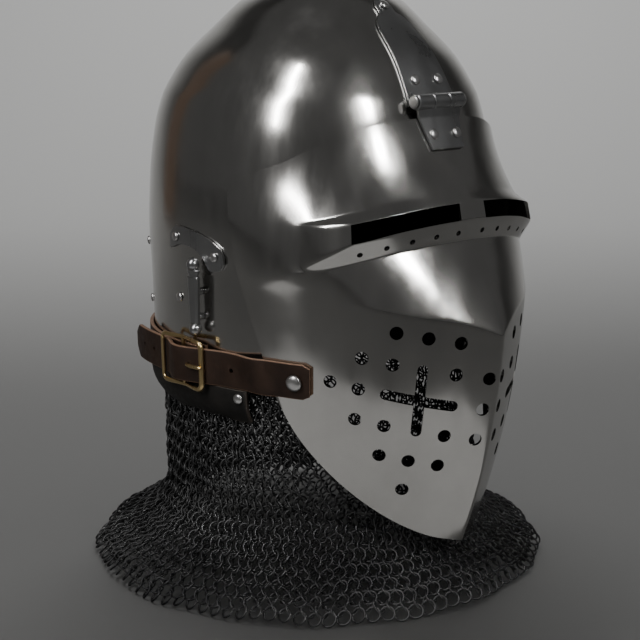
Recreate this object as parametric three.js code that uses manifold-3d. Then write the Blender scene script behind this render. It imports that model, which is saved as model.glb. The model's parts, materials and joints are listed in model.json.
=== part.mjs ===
// A visored bascinet: a tall steel skull, a snouted visor hung from one hinge at the brow,
// a strap that buckles round the back and holds the visor shut, and a mail curtain on a
// leather band. The helmet faces -Y, its right side is -X, and it is held up by the head.
import * as THREE from 'three';
import { mergeVertices } from 'three/addons/utils/BufferGeometryUtils.js';
import Module from 'manifold-3d';

// Driving dimensions in millimetres, heights counted from the lowest edge of the mail
const SEAT_HEIGHT = 338;
const SHEET = 2;
const GAP = 0.35;

// Skull
const SKULL_RIM = 121;
const SKULL_HEIGHT = 258.5;
const SKULL_APEX = SKULL_RIM + SKULL_HEIGHT;
const SKULL_HALF_WIDTH = 104;
const SKULL_FRONT = 113;
const SKULL_BACK = 118;
const SKULL_APEX_FORWARD = 6;
const SKULL_FRONT_POWER = 2.25;
const SKULL_BACK_POWER = 2.05;
const FACE_BROW_DROP = 116.5;
const FACE_BROW = SKULL_APEX - FACE_BROW_DROP;
const FACE_SIDE = 60;
const FACE_CORNER = 24;
const FACE_BEVEL_DEPTH = 16;
const FACE_BEVEL_FOOT = 5;
const FACE_BEVEL_HEIGHT = 27;

// Visor
const VISOR_CLEARANCE = 1.8;
const VISOR_HALF_ANGLE = 70;
const VISOR_TOP_DROP = 86;
const VISOR_TOP = SKULL_APEX - VISOR_TOP_DROP;
const VISOR_HEIGHT = 257.5;
const SNOUT_REACH = 50;
const LEDGE_REACH = 23;
const LEDGE_HALF_ANGLE = 39;
const LEDGE_END_BLEND = 6;
const SLIT_BAR = 20;
const SLIT_HALF_ANGLE = 33;
const FOREHEAD_HOLLOW = 2.5;
const CHEEK_SWELL = 5;
const SNOUT_SWELL = 0.8;
const BREATH_HOLE = 8;
const BREATH_STEP_FORWARD = 17.2;
const BREATH_STEP_DOWN = 19.1;
const BREATH_ROW_FALL = 3.6;
const BREATH_ROW_SHIFT = 1.3;
const CROSS_ARC = 40.5;
const CROSS_HEIGHT = 132.5;
const CROSS_WIDTH = 6.5;
const CROSS_UPRIGHT = 45;
const CROSS_BAR = 47;
const BROW_HOLE = 3.4;
const BROW_HOLES = 5;
const BROW_HOLE_PITCH = 15.7;
const BROW_HOLE_DROP = 7.5;

// Brow hinge
const HINGE_RISE = 9;
const HINGE_HEIGHT = VISOR_TOP + HINGE_RISE;
const HINGE_WIDTH = 38;
const BARREL_RADIUS = 4.7;
const BARREL_SINK = 0.8;
const PIN_RADIUS = 2;
const PIN_CLEARANCE = 0.3;
const PIN_HEAD = 1.8;
const LEAF_THICKNESS = 1.8;
const LEAF_TOP_DROP = 18.5;
const UPPER_LEAF_TOP = SKULL_APEX - LEAF_TOP_DROP;
const LOWER_LEAF_LENGTH = 26;
const RIVET_RADIUS = 3.2;
const HINGE_RIVET_PITCH = 18.8;
const UPPER_RIVET_RISE = 11;
const LOWER_RIVET_DROP = 19.5;
const APEX_RIVET_DROP = 5;

// Strap, buckle and leather band
const BAND_LAP = 9.15;
const BAND_HEIGHT = 21;
const BAND_THICKNESS = 2.5;
const BAND_TUCK = 6;
const BAND_FRONT_ANGLE = 64;
const BAND_TOP = SKULL_RIM + BAND_LAP;
const BAND_FOOT = BAND_TOP - BAND_HEIGHT;
const STRAP_WIDTH = 22;
const STRAP_THICKNESS = 2.6;
const STRAP_HEIGHT = BAND_TOP + GAP + STRAP_WIDTH / 2;
const STRAP_FRONT_ANGLE = 43;
const STRAP_RIVET_ANGLE = 46.8;
const STRAP_RIVET_RADIUS = 5;
const STRAP_TAIL_ANGLE = 129;
const STRAP_TAIL_RISE = 7;
const STRAP_RAMP_ANGLE = 8;
const STRAP_TIP_ANGLE = 8;
const BUCKLE_FRONT_ANGLE = 81;
const BUCKLE_BACK_ANGLE = 103;
const BUCKLE_HEIGHT = 30;
const BUCKLE_WIRE = 2.8;
const BUCKLE_CORNER = 3;
const BUCKLE_CORNER_ANGLE = 1.5;
const BUCKLE_PIN_RADIUS = 1.3;

// Fitting on each side of the skull
const SIDE_RIVET_RISE = 97.5;
const SIDE_RIVET_TOP = SKULL_RIM + SIDE_RIVET_RISE;
const SIDE_RIVET_SPAN = 38.5;
const SIDE_RIVET_LOW = SIDE_RIVET_TOP - SIDE_RIVET_SPAN;
const SIDE_RIVET_BACK_ANGLE = 96;
const SIDE_RIVET_STEP = 8.5;
const SIDE_RIVET_FRONT = SIDE_RIVET_TOP - SIDE_RIVET_STEP;
const SIDE_RIVET_FRONT_ANGLE = 76;
const SIDE_PLATE_THICKNESS = 1.6;
const SIDE_PLATE_MARGIN = 7;
const SIDE_PLATE_FOOT = 9;
const SIDE_PLATE_END_ANGLE = 4;
const SIDE_BAR_CLEARANCE = 15.15;
const SIDE_BAR_LENGTH = 34;
const SIDE_BAR_WIDTH = 10.5;
const SIDE_BAR_TIP = 7;
const SIDE_BAR_THICKNESS = 4;
const SIDE_BAR_ANGLE = 84;
const SIDE_BAR_STANDOFF = 6;
const SIDE_BALL_RADIUS = 4;
const SIDE_POST_RADIUS = 2.2;
const REAR_RIVET_ANGLE = 133;
const REAR_RIVET_DROP = 12.5;

// Mail curtain
const MAIL_WALL = 3;
const MAIL_NECK = 0.915;
const MAIL_SKIRT_RADIUS = 152;
const MAIL_TUCK = 10;
const MAIL_FLARE = 46;

const wasm = await Module();
wasm.setup();

const helmet = new THREE.Group();
helmet.name = 'bascinet';

const steel = new THREE.MeshStandardMaterial({ color: 0x8d9094, roughness: 0.28, metalness: 1 });
const darkSteel = new THREE.MeshStandardMaterial({ color: 0x5b5d60, roughness: 0.45, metalness: 1 });
const brass = new THREE.MeshStandardMaterial({ color: 0xb08d4f, roughness: 0.35, metalness: 1 });
const tanLeather = new THREE.MeshStandardMaterial({ color: 0x5a3a26, roughness: 0.7, metalness: 0 });
const darkLeather = new THREE.MeshStandardMaterial({ color: 0x241b17, roughness: 0.8, metalness: 0 });
const mail = new THREE.MeshStandardMaterial({ color: 0x77797b, roughness: 0.4, metalness: 1 });

const radians = (degrees) => THREE.MathUtils.degToRad(degrees);
const degrees = (angle) => THREE.MathUtils.radToDeg(angle);

// A smooth curve through the rows of a table that never swings past its values
function curve(rows, from, to) {
  const x = rows.map((row) => row[from]);
  const y = rows.map((row) => row[to]);
  const slope = x.slice(1).map((value, i) => (y[i + 1] - y[i]) / (value - x[i]));
  const tangent = x.map((_, i) => {
    if (i === 0) return slope[0];
    if (i === slope.length) return slope[i - 1];
    if (slope[i - 1] * slope[i] <= 0) return 0;
    return (2 * slope[i - 1] * slope[i]) / (slope[i - 1] + slope[i]);
  });
  return (value) => {
    const at = THREE.MathUtils.clamp(value, x[0], x[x.length - 1]);
    let i = 0;
    while (i < slope.length - 1 && at > x[i + 1]) i += 1;
    const step = x[i + 1] - x[i];
    const t = (at - x[i]) / step;
    const rise = y[i + 1] - y[i];
    const a = tangent[i] * step - rise;
    const b = rise - tangent[i + 1] * step;
    return y[i] + t * rise + t * (1 - t) * ((1 - t) * a + t * b);
  };
}

// Girth of the skull, as a share of its widest, against the share of its depth below the apex
const skullTable = [
  { fall: 0, girth: 0 },
  { fall: 0.021, girth: 0.235 },
  { fall: 0.072, girth: 0.452 },
  { fall: 0.13, girth: 0.598 },
  { fall: 0.207, girth: 0.775 },
  { fall: 0.257, girth: 0.852 },
  { fall: 0.3, girth: 0.905 },
  { fall: 0.385, girth: 0.957 },
  { fall: 0.51, girth: 0.99 },
  { fall: 0.625, girth: 1 },
  { fall: 0.74, girth: 0.99 },
  { fall: 1, girth: 0.975 },
].map((row) => ({ root: Math.sqrt(row.fall), girth: row.girth }));
const girthCurve = curve(skullTable, 'root', 'girth');

function skullGirth(height) {
  const fall = (SKULL_APEX - height) / SKULL_HEIGHT;
  return girthCurve(Math.sqrt(THREE.MathUtils.clamp(fall, 0, 1)));
}

// Radius of the skull's plan at an angle from the front, before the girth is applied
function planRadius(angle) {
  const side = Math.abs(Math.sin(angle)) / SKULL_HALF_WIDTH;
  const ahead = Math.cos(angle) > 0;
  const length = Math.abs(Math.cos(angle)) / (ahead ? SKULL_FRONT : SKULL_BACK);
  const power = ahead ? SKULL_FRONT_POWER : SKULL_BACK_POWER;
  return (side ** power + length ** power) ** (-1 / power);
}

function polar(angle, radius, height, centre = 0) {
  return new THREE.Vector3(-radius * Math.sin(angle), centre - radius * Math.cos(angle), height);
}

function skullCentre(height) {
  return -SKULL_APEX_FORWARD * (1 - skullGirth(height));
}

function skullPoint(angle, height) {
  return polar(angle, planRadius(angle) * skullGirth(height), height, skullCentre(height));
}

// A point of the skull's front at a distance to the side of the centre line
function browPoint(across, height) {
  const girth = skullGirth(height);
  const share = Math.min(Math.abs(across) / (SKULL_HALF_WIDTH * girth), 1);
  const depth = SKULL_FRONT * girth * (1 - share ** SKULL_FRONT_POWER) ** (1 / SKULL_FRONT_POWER);
  return new THREE.Vector3(across, skullCentre(height) - depth, height);
}

// Lines of the visor from its lower edge up. Each has its half angle as a share of the
// visor's, and rows from the centre line (0) to the rear edge (1): the height as a share of
// the visor's height, and how far it stands off the skull as a share of a named reach.
const visorLines = [
  {
    end: 0.765, reach: SNOUT_REACH, swell: CHEEK_SWELL,
    rows: [
      { at: 0, up: 0, out: 0.43 }, { at: 0.15, up: 0.019, out: 0.3 },
      { at: 0.3, up: 0.051, out: 0.19 }, { at: 0.45, up: 0.093, out: 0.09 },
      { at: 0.6, up: 0.144, out: 0.02 }, { at: 0.75, up: 0.205, out: -0.02 },
      { at: 0.9, up: 0.283, out: -0.02 }, { at: 1, up: 0.36, out: 0.01 },
    ],
  },
  {
    end: 0.909, reach: SNOUT_REACH, swell: SNOUT_SWELL,
    rows: [
      { at: 0, up: 0.523, out: 1 }, { at: 0.07, up: 0.543, out: 0.885 },
      { at: 0.15, up: 0.559, out: 0.77 }, { at: 0.3, up: 0.575, out: 0.6 },
      { at: 0.45, up: 0.592, out: 0.44 }, { at: 0.6, up: 0.604, out: 0.29 },
      { at: 0.75, up: 0.605, out: 0.17 }, { at: 0.9, up: 0.6, out: 0.08 },
      { at: 1, up: 0.597, out: 0.04 },
    ],
  },
  {
    end: 0.931, reach: LEDGE_REACH, swell: 0,
    rows: [
      { at: 0, up: 0.726, out: 0.83 }, { at: 0.15, up: 0.723, out: 0.78 },
      { at: 0.3, up: 0.714, out: 0.72 }, { at: 0.45, up: 0.697, out: 0.68 },
      { at: 0.6, up: 0.677, out: 0.61 }, { at: 0.75, up: 0.661, out: 0.46 },
      { at: 0.9, up: 0.648, out: 0.25 }, { at: 1, up: 0.64, out: 0.08 },
    ],
  },
  {
    end: 0.95, reach: LEDGE_REACH, swell: 0, lip: 1.007,
    rows: [
      { at: 0, up: 0.777, out: 0.81 }, { at: 0.15, up: 0.772, out: 0.77 },
      { at: 0.3, up: 0.761, out: 0.7 }, { at: 0.45, up: 0.742, out: 0.63 },
      { at: 0.6, up: 0.724, out: 0.55 }, { at: 0.75, up: 0.708, out: 0.41 },
      { at: 0.9, up: 0.695, out: 0.21 }, { at: 1, up: 0.687, out: 0.07 },
    ],
  },
  {
    end: 0.965, reach: LEDGE_REACH, swell: 0, lip: 0.907,
    rows: [
      { at: 0, up: 0.816, out: 0.8 }, { at: 0.15, up: 0.812, out: 0.76 },
      { at: 0.3, up: 0.801, out: 0.67 }, { at: 0.45, up: 0.785, out: 0.58 },
      { at: 0.6, up: 0.768, out: 0.49 }, { at: 0.75, up: 0.755, out: 0.35 },
      { at: 0.9, up: 0.741, out: 0.17 }, { at: 1, up: 0.733, out: 0.05 },
    ],
  },
  {
    end: 0.98, reach: LEDGE_REACH, swell: -FOREHEAD_HOLLOW,
    rows: [
      { at: 0, up: 0.834, out: 0.79 }, { at: 0.15, up: 0.832, out: 0.75 },
      { at: 0.3, up: 0.823, out: 0.65 }, { at: 0.45, up: 0.804, out: 0.56 },
      { at: 0.6, up: 0.783, out: 0.47 }, { at: 0.75, up: 0.767, out: 0.31 },
      { at: 0.9, up: 0.753, out: 0.15 }, { at: 1, up: 0.745, out: 0.04 },
    ],
  },
  {
    end: 1, reach: LEDGE_REACH, swell: 0,
    rows: [
      { at: 0, up: 1, out: 0 }, { at: 0.15, up: 0.998, out: 0 },
      { at: 0.3, up: 0.99, out: 0 }, { at: 0.45, up: 0.971, out: 0 },
      { at: 0.6, up: 0.94, out: 0 }, { at: 0.75, up: 0.901, out: 0 },
      { at: 0.9, up: 0.873, out: 0 }, { at: 1, up: 0.828, out: 0 },
    ],
  },
].map((line) => ({
  ...line,
  up: curve(line.rows, 'at', 'up'),
  out: curve(line.rows, 'at', 'out'),
}));
const SLIT_LOWER_LINE = 3;
const SLIT_UPPER_LINE = 4;

function visorHeight(line, at) {
  return VISOR_TOP - VISOR_HEIGHT * (1 - line.up(Math.abs(at)));
}

// Distance of a visor line from the skull's axis: the skull's radius, the clearance, the
// sheet and the stand-off, with the lips of the slit drawn out to one round ledge
function visorLinePoint(line, at) {
  const angle = radians(VISOR_HALF_ANGLE * line.end * at);
  const height = visorHeight(line, at);
  const seat = planRadius(angle) * skullGirth(height) + VISOR_CLEARANCE + SHEET;
  const plain = seat + line.out(Math.abs(at)) * line.reach;
  if (!line.lip) return { angle, height, radius: plain };
  const lip = SKULL_FRONT + VISOR_CLEARANCE + SHEET + LEDGE_REACH * line.lip;
  const inside = LEDGE_HALF_ANGLE - Math.abs(degrees(angle));
  const share = THREE.MathUtils.clamp(0.5 + inside / (2 * LEDGE_END_BLEND), 0, 1);
  return { angle, height, radius: THREE.MathUtils.lerp(plain, lip, share) };
}

function visorPolar(at, level) {
  const i = Math.min(Math.floor(level), visorLines.length - 2);
  const t = level - i;
  const low = visorLinePoint(visorLines[i], at);
  const high = visorLinePoint(visorLines[i + 1], at);
  const fade = 1 - at * at;
  const swell = visorLines[i].swell * fade * 4 * t * (1 - t);
  return {
    angle: THREE.MathUtils.lerp(low.angle, high.angle, t),
    height: THREE.MathUtils.lerp(low.height, high.height, t),
    radius: THREE.MathUtils.lerp(low.radius, high.radius, t) + swell,
  };
}

function visorPoint(at, level) {
  const { angle, radius, height } = visorPolar(at, level);
  return polar(angle, radius, height);
}

// The visor's level at a given angle and height, found by halving
function visorLevel(angle, height, lowest = 0, highest = visorLines.length - 1) {
  let low = lowest;
  let high = highest;
  for (let i = 0; i < 24; i += 1) {
    const level = (low + high) / 2;
    const index = Math.min(Math.floor(level), visorLines.length - 2);
    const t = level - index;
    const end = THREE.MathUtils.lerp(visorLines[index].end, visorLines[index + 1].end, t);
    const at = degrees(angle) / (VISOR_HALF_ANGLE * end);
    if (visorPolar(at, level).height < height) low = level;
    else high = level;
  }
  const index = Math.min(Math.floor(low), visorLines.length - 2);
  const end = THREE.MathUtils.lerp(visorLines[index].end, visorLines[index + 1].end, low - index);
  return { at: degrees(angle) / (VISOR_HALF_ANGLE * end), level: low };
}

// A frame on the visor's outside: the point, and axes to the side, up and outward
function visorFrame(angle, height) {
  const { at, level } = visorLevel(angle, height);
  return surfaceFrame(visorPoint(at, level), (a, h) => {
    const place = visorLevel(a, h);
    return visorPoint(place.at, place.level);
  }, angle, height);
}

function surfaceFrame(origin, surface, angle, height) {
  const step = 0.02;
  const side = surface(angle + step, height).sub(surface(angle - step, height)).normalize();
  const up = surface(angle, height + 2).sub(surface(angle, height - 2)).normalize();
  const out = new THREE.Vector3().crossVectors(up, side).normalize();
  const trueUp = new THREE.Vector3().crossVectors(side, out).normalize();
  return new THREE.Matrix4().makeBasis(side.negate(), trueUp, out).setPosition(origin);
}

function skullFrame(angle, height, lift = 0) {
  return lifted(surfaceFrame(skullPoint(angle, height), skullPoint, angle, height), lift);
}

function lifted(frame, distance) {
  return frame.clone().multiply(new THREE.Matrix4().makeTranslation(0, 0, distance));
}

// Geometry helpers
function spread(start, end, steps) {
  return Array.from({ length: steps + 1 }, (_, i) => start + ((end - start) * i) / steps);
}

function welded(geometry) {
  const bare = geometry.clone();
  bare.deleteAttribute('normal');
  bare.deleteAttribute('uv');
  const merged = mergeVertices(bare, 1e-3);
  const index = merged.getIndex().array;
  const kept = [];
  for (let i = 0; i < index.length; i += 3) {
    const [a, b, c] = [index[i], index[i + 1], index[i + 2]];
    if (a !== b && b !== c && c !== a) kept.push(a, b, c);
  }
  merged.setIndex(kept);
  return merged;
}

// An open sheet over a grid: point(u, v) with u running round from the front and v upward
function gridSheet(point, us, vs) {
  const positions = [];
  const index = [];
  us.forEach((u) => vs.forEach((v) => positions.push(...point(u, v).toArray())));
  for (let i = 0; i < us.length - 1; i += 1) {
    for (let j = 0; j < vs.length - 1; j += 1) {
      const a = i * vs.length + j;
      const b = a + vs.length;
      index.push(a, a + 1, b + 1, a, b + 1, b);
    }
  }
  const geometry = new THREE.BufferGeometry();
  geometry.setAttribute('position', new THREE.Float32BufferAttribute(positions, 3));
  geometry.setIndex(index);
  return welded(geometry);
}

// A closed wall made from a sheet, between two distances along its normals
function thicken(sheet, inner, outer) {
  sheet.computeVertexNormals();
  const place = sheet.getAttribute('position');
  const normal = sheet.getAttribute('normal');
  const index = Array.from(sheet.getIndex().array);
  const count = place.count;
  const positions = [];
  for (const distance of [outer, inner]) {
    for (let i = 0; i < count; i += 1) {
      const point = new THREE.Vector3().fromBufferAttribute(place, i);
      const out = new THREE.Vector3().fromBufferAttribute(normal, i);
      positions.push(...point.addScaledVector(out, distance).toArray());
    }
  }
  const faces = [];
  const edges = new Map();
  for (let i = 0; i < index.length; i += 3) {
    const [a, b, c] = index.slice(i, i + 3);
    faces.push(a, b, c, count + a, count + c, count + b);
    for (const [from, to] of [[a, b], [b, c], [c, a]]) {
      if (edges.has(`${to} ${from}`)) edges.delete(`${to} ${from}`);
      else edges.set(`${from} ${to}`, [from, to]);
    }
  }
  for (const [from, to] of edges.values()) {
    faces.push(from, count + from, count + to, from, count + to, to);
  }
  const geometry = new THREE.BufferGeometry();
  geometry.setAttribute('position', new THREE.Float32BufferAttribute(positions, 3));
  geometry.setIndex(faces);
  return geometry;
}

function toSolid(geometry) {
  const clean = welded(geometry);
  return new wasm.Manifold(new wasm.Mesh({
    numProp: 3,
    vertProperties: new Float32Array(clean.getAttribute('position').array),
    triVerts: new Uint32Array(clean.getIndex().array),
  }));
}

function toGeometry(solid) {
  const mesh = solid.getMesh();
  const geometry = new THREE.BufferGeometry();
  geometry.setAttribute('position', new THREE.BufferAttribute(mesh.vertProperties, 3));
  geometry.setIndex(new THREE.BufferAttribute(mesh.triVerts, 1));
  return geometry;
}

function join(...geometries) {
  return toGeometry(geometries.map(toSolid).reduce((whole, piece) => whole.add(piece)));
}

function cut(geometry, cutters) {
  return toGeometry(cutters.map(toSolid).reduce((whole, piece) => whole.subtract(piece), toSolid(geometry)));
}

function put(name, geometry, material) {
  const mesh = new THREE.Mesh(geometry, material);
  mesh.name = name;
  mesh.position.z = -SEAT_HEIGHT;
  helmet.add(mesh);
}

// A straight round bar between two points
function rod(from, to, radius, sides) {
  const length = from.distanceTo(to);
  const geometry = new THREE.CylinderGeometry(radius, radius, length, sides);
  const turn = new THREE.Quaternion().setFromUnitVectors(
    new THREE.Vector3(0, 1, 0),
    to.clone().sub(from).normalize(),
  );
  geometry.applyQuaternion(turn);
  return geometry.translate(...from.clone().lerp(to, 0.5).toArray());
}

// A domed rivet head standing on the XY plane of a frame
function rivet(frame, radius) {
  const rise = radius * 0.55;
  const rim = radius * 0.15;
  const profile = [new THREE.Vector2(0, 0), new THREE.Vector2(radius, 0)];
  for (const turn of spread(0, 90, 2)) {
    const x = radius * Math.cos(radians(turn));
    profile.push(new THREE.Vector2(turn === 90 ? 0 : x, rim + (rise - rim) * Math.sin(radians(turn))));
  }
  const geometry = new THREE.LatheGeometry(profile, 8);
  geometry.rotateX(Math.PI / 2);
  return geometry.applyMatrix4(frame);
}

// Skull: a closed shell of turned sections, open below, with the face cut out of its front
function skull() {
  const rows = spread(0, 1, 14).map((share) => {
    const fall = (1 - share) ** 1.6;
    return SKULL_APEX - SKULL_HEIGHT * fall;
  });
  const sheet = gridSheet((angle, height) => skullPoint(angle, height), spread(0, 2 * Math.PI, 32), rows);
  const wall = thicken(sheet, -SHEET, 0);
  const outline = new THREE.Shape();
  const front = -SKULL_FRONT * 2;
  outline.moveTo(front, SKULL_RIM / 2);
  outline.lineTo(FACE_BEVEL_DEPTH - FACE_SIDE, SKULL_RIM / 2);
  outline.lineTo(FACE_BEVEL_DEPTH - FACE_SIDE, SKULL_RIM + FACE_BEVEL_FOOT);
  outline.lineTo(-FACE_SIDE, SKULL_RIM + FACE_BEVEL_HEIGHT);
  outline.lineTo(-FACE_SIDE, FACE_BROW - FACE_CORNER);
  outline.absarc(-FACE_SIDE - FACE_CORNER, FACE_BROW - FACE_CORNER, FACE_CORNER, 0, Math.PI / 2);
  outline.lineTo(front, FACE_BROW);
  const width = SKULL_HALF_WIDTH * 2.2;
  const options = { depth: width, bevelEnabled: false, curveSegments: 6 };
  const opening = new THREE.ExtrudeGeometry(outline, options);
  opening.translate(0, 0, -width / 2);
  opening.applyMatrix4(new THREE.Matrix4().makeBasis(
    new THREE.Vector3(0, 1, 0),
    new THREE.Vector3(0, 0, 1),
    new THREE.Vector3(1, 0, 0),
  ));
  return cut(wall, [opening]);
}

// Visor: the shell through its lines, with the two slits, the breaths and the crosses
function slitCutter(side) {
  const barAngle = degrees(SLIT_BAR / 2 / (SKULL_FRONT + LEDGE_REACH));
  const point = (angle, share) => {
    const level = SLIT_LOWER_LINE + share * (SLIT_UPPER_LINE - SLIT_LOWER_LINE);
    const lowerEnd = visorLines[SLIT_LOWER_LINE].end;
    const end = THREE.MathUtils.lerp(lowerEnd, visorLines[SLIT_UPPER_LINE].end, share);
    return visorPoint(angle / (VISOR_HALF_ANGLE * end), level);
  };
  const angles = spread(barAngle, SLIT_HALF_ANGLE, 8).map((angle) => side * angle);
  const sheet = gridSheet(point, side > 0 ? angles : angles.reverse(), [0.02, 0.98]);
  return thicken(sheet, -SHEET * 4, SHEET * 4);
}

// A round punch through the sheet at a frame
function punch(frame, diameter, sides) {
  const geometry = new THREE.CylinderGeometry(diameter / 2, diameter / 2, SHEET * 5, sides);
  geometry.rotateX(Math.PI / 2);
  return geometry.applyMatrix4(frame);
}

// A slot with round ends, centred on a frame
function slot(frame, length, width, turn) {
  const outline = new THREE.Shape();
  const reach = (length - width) / 2;
  outline.absarc(reach, 0, width / 2, -Math.PI / 2, Math.PI / 2);
  outline.absarc(-reach, 0, width / 2, Math.PI / 2, Math.PI * 1.5);
  const depth = SHEET * 8;
  const geometry = new THREE.ExtrudeGeometry(outline, { depth, bevelEnabled: false, curveSegments: 3 });
  geometry.translate(0, 0, -depth / 2);
  geometry.rotateZ(turn);
  return geometry.applyMatrix4(frame);
}

// The angle that an arc along the cheek takes from the centre line
function cheekAngle(arc) {
  return arc / (SKULL_FRONT + SNOUT_REACH * 0.55);
}

// Rows of breaths round the cross, counted down and forward from it
const breathRows = [
  { row: -2, columns: [-1, 0, 1] },
  { row: -1, columns: [-2, -1, 1, 2] },
  { row: 0, columns: [-3, -2, 2] },
  { row: 1, columns: [-2, -1, 1, 2] },
  { row: 2, columns: [-1, 0, 1] },
  { row: 3, columns: [0] },
];

function breaths(side) {
  const cutters = [];
  for (const { row, columns } of breathRows) {
    for (const column of columns) {
      const arc = CROSS_ARC - column * BREATH_STEP_FORWARD + row * BREATH_ROW_SHIFT;
      const height = CROSS_HEIGHT - column * BREATH_ROW_FALL - row * BREATH_STEP_DOWN;
      cutters.push(punch(visorFrame(side * cheekAngle(arc), height), BREATH_HOLE, 8));
    }
  }
  return cutters;
}

function cross(side) {
  const frame = visorFrame(side * cheekAngle(CROSS_ARC), CROSS_HEIGHT);
  const barTurn = -side * Math.atan2(BREATH_ROW_FALL, BREATH_STEP_FORWARD);
  const uprightTurn = Math.PI / 2 - side * Math.atan2(BREATH_ROW_SHIFT, BREATH_STEP_DOWN);
  return [
    slot(frame, CROSS_BAR, CROSS_WIDTH, barTurn),
    slot(frame, CROSS_UPRIGHT, CROSS_WIDTH, uprightTurn),
  ];
}

function browHoles(side) {
  const lip = SKULL_FRONT + LEDGE_REACH;
  const line = visorLines[SLIT_LOWER_LINE];
  return spread(0, BROW_HOLES - 1, BROW_HOLES - 1).map((i) => {
    const angle = (SLIT_BAR / 2 + i * BROW_HOLE_PITCH) / lip;
    const height = visorHeight(line, degrees(angle) / (VISOR_HALF_ANGLE * line.end)) - BROW_HOLE_DROP;
    return punch(visorFrame(side * angle, height), BROW_HOLE, 6);
  });
}

function visor() {
  const levels = [
    ...spread(0, 1, 4), ...spread(1, 2, 2).slice(1), ...spread(2, 3, 1).slice(1),
    ...spread(3, 4, 1).slice(1), ...spread(4, 5, 1).slice(1), ...spread(5, 6, 3).slice(1),
  ];
  const lipEnd = (LEDGE_HALF_ANGLE - LEDGE_END_BLEND) / VISOR_HALF_ANGLE;
  const ledgeEnd = (LEDGE_HALF_ANGLE + LEDGE_END_BLEND) / VISOR_HALF_ANGLE;
  const half = [0, 0.07, 0.16, 0.27, 0.38, lipEnd + 0.02, ledgeEnd + 0.03, 0.76, 0.88, 1];
  const columns = [...half.slice(1).reverse().map((at) => -at), ...half];
  const wall = thicken(gridSheet(visorPoint, columns, levels), -SHEET, 0);
  return cut(wall, [-1, 1].flatMap((side) => [
    slitCutter(side),
    ...breaths(side),
    ...cross(side),
    ...browHoles(side),
  ]));
}

// Brow hinge: the barrel's axis lies across the helmet, just off the upper leaf
const hingeAxisY = browPoint(0, HINGE_HEIGHT).y - GAP - LEAF_THICKNESS - BARREL_RADIUS + BARREL_SINK;
const knuckle = HINGE_WIDTH / 3;

function barrel(from, to, inner, outer) {
  const profile = [
    new THREE.Vector2(inner, from),
    new THREE.Vector2(outer, from),
    new THREE.Vector2(outer, to),
    new THREE.Vector2(inner, to),
    new THREE.Vector2(inner, from),
  ];
  const geometry = new THREE.LatheGeometry(profile, 12);
  geometry.rotateZ(-Math.PI / 2);
  return geometry.translate(0, hingeAxisY, HINGE_HEIGHT);
}

// A solid round bar on the hinge's axis
function axle(from, to, radius) {
  return rod(
    new THREE.Vector3(from, hingeAxisY, HINGE_HEIGHT),
    new THREE.Vector3(to, hingeAxisY, HINGE_HEIGHT),
    radius,
    12,
  );
}

// Half width of the upper leaf, as a share of half the hinge, up its length
const leafTable = [
  { up: 0, half: 1 }, { up: 0.35, half: 0.9 }, { up: 0.62, half: 0.79 }, { up: 0.74, half: 0.71 },
  { up: 0.81, half: 0.54 }, { up: 0.86, half: 0.31 }, { up: 0.92, half: 0.3 }, { up: 0.97, half: 0.2 },
  { up: 1, half: 0.03 },
];
const leafHalf = curve(leafTable, 'up', 'half');

function upperLeaf() {
  const foot = HINGE_HEIGHT - BARREL_RADIUS * 0.6;
  const point = (across, up) => {
    const half = (leafHalf(up) * HINGE_WIDTH) / 2;
    return browPoint(-across * half, foot + (UPPER_LEAF_TOP - foot) * up);
  };
  const rows = [0, 0.18, 0.35, 0.5, 0.62, 0.7, 0.76, 0.82, 0.88, 0.94, 1];
  const plate = thicken(gridSheet(point, spread(-1, 1, 6), rows), GAP, GAP + LEAF_THICKNESS);
  const bore = PIN_RADIUS + PIN_CLEARANCE;
    const whole = join(
    plate,
    barrel(-HINGE_WIDTH / 2, -knuckle / 2 - GAP, bore, BARREL_RADIUS),
    barrel(knuckle / 2 + GAP, HINGE_WIDTH / 2, bore, BARREL_RADIUS),
  );
  const reach = HINGE_WIDTH / 2 + PIN_HEAD;
  return cut(whole, [
    axle(-knuckle / 2 - GAP, knuckle / 2 + GAP, BARREL_RADIUS + GAP),
    axle(-reach, reach, bore),
  ]);
}

function lowerLeaf() {
  const top = HINGE_HEIGHT - BARREL_RADIUS * 0.4;
  const low = top - LOWER_LEAF_LENGTH;
  const point = (across, up) => {
    const height = low + (top - low) * up;
    const half = (HINGE_WIDTH / 2) * THREE.MathUtils.lerp(0.62, 0.93, up);
    const onVisor = Math.min(height, VISOR_TOP - GAP);
    const angle = (across * half) / (SKULL_FRONT * skullGirth(onVisor));
    const place = visorLevel(angle, onVisor);
    const base = visorPoint(place.at, place.level);
    const over = Math.max(0, height - onVisor);
    return base.add(new THREE.Vector3(0, 0, over));
  };
  const plate = thicken(gridSheet(point, spread(-1, 1, 6), spread(0, 1, 6)), GAP, GAP + LEAF_THICKNESS);
  const bore = PIN_RADIUS + PIN_CLEARANCE;
  const whole = join(plate, barrel(-knuckle / 2, knuckle / 2, bore, BARREL_RADIUS));
  const reach = HINGE_WIDTH / 2 + PIN_HEAD;
  return cut(whole, [
    axle(-reach, -knuckle / 2, BARREL_RADIUS + GAP),
    axle(knuckle / 2, reach, BARREL_RADIUS + GAP),
    axle(-reach, reach, bore),
  ]);
}

function hingePin() {
  const half = HINGE_WIDTH / 2;
  const head = BARREL_RADIUS * 0.8;
  return join(
    axle(-half - PIN_HEAD / 2, half + PIN_HEAD / 2, PIN_RADIUS),
    axle(-half - PIN_HEAD, -half - GAP, head),
    axle(half + GAP, half + PIN_HEAD, head),
  );
}

// Where a rivet sits on the front of the skull or the visor, by its distance from the centre
function browFrame(across, height) {
  const angle = Math.asin(-across / Math.abs(browPoint(across, height).y));
  return skullFrame(angle, height, GAP + LEAF_THICKNESS + GAP);
}

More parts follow.
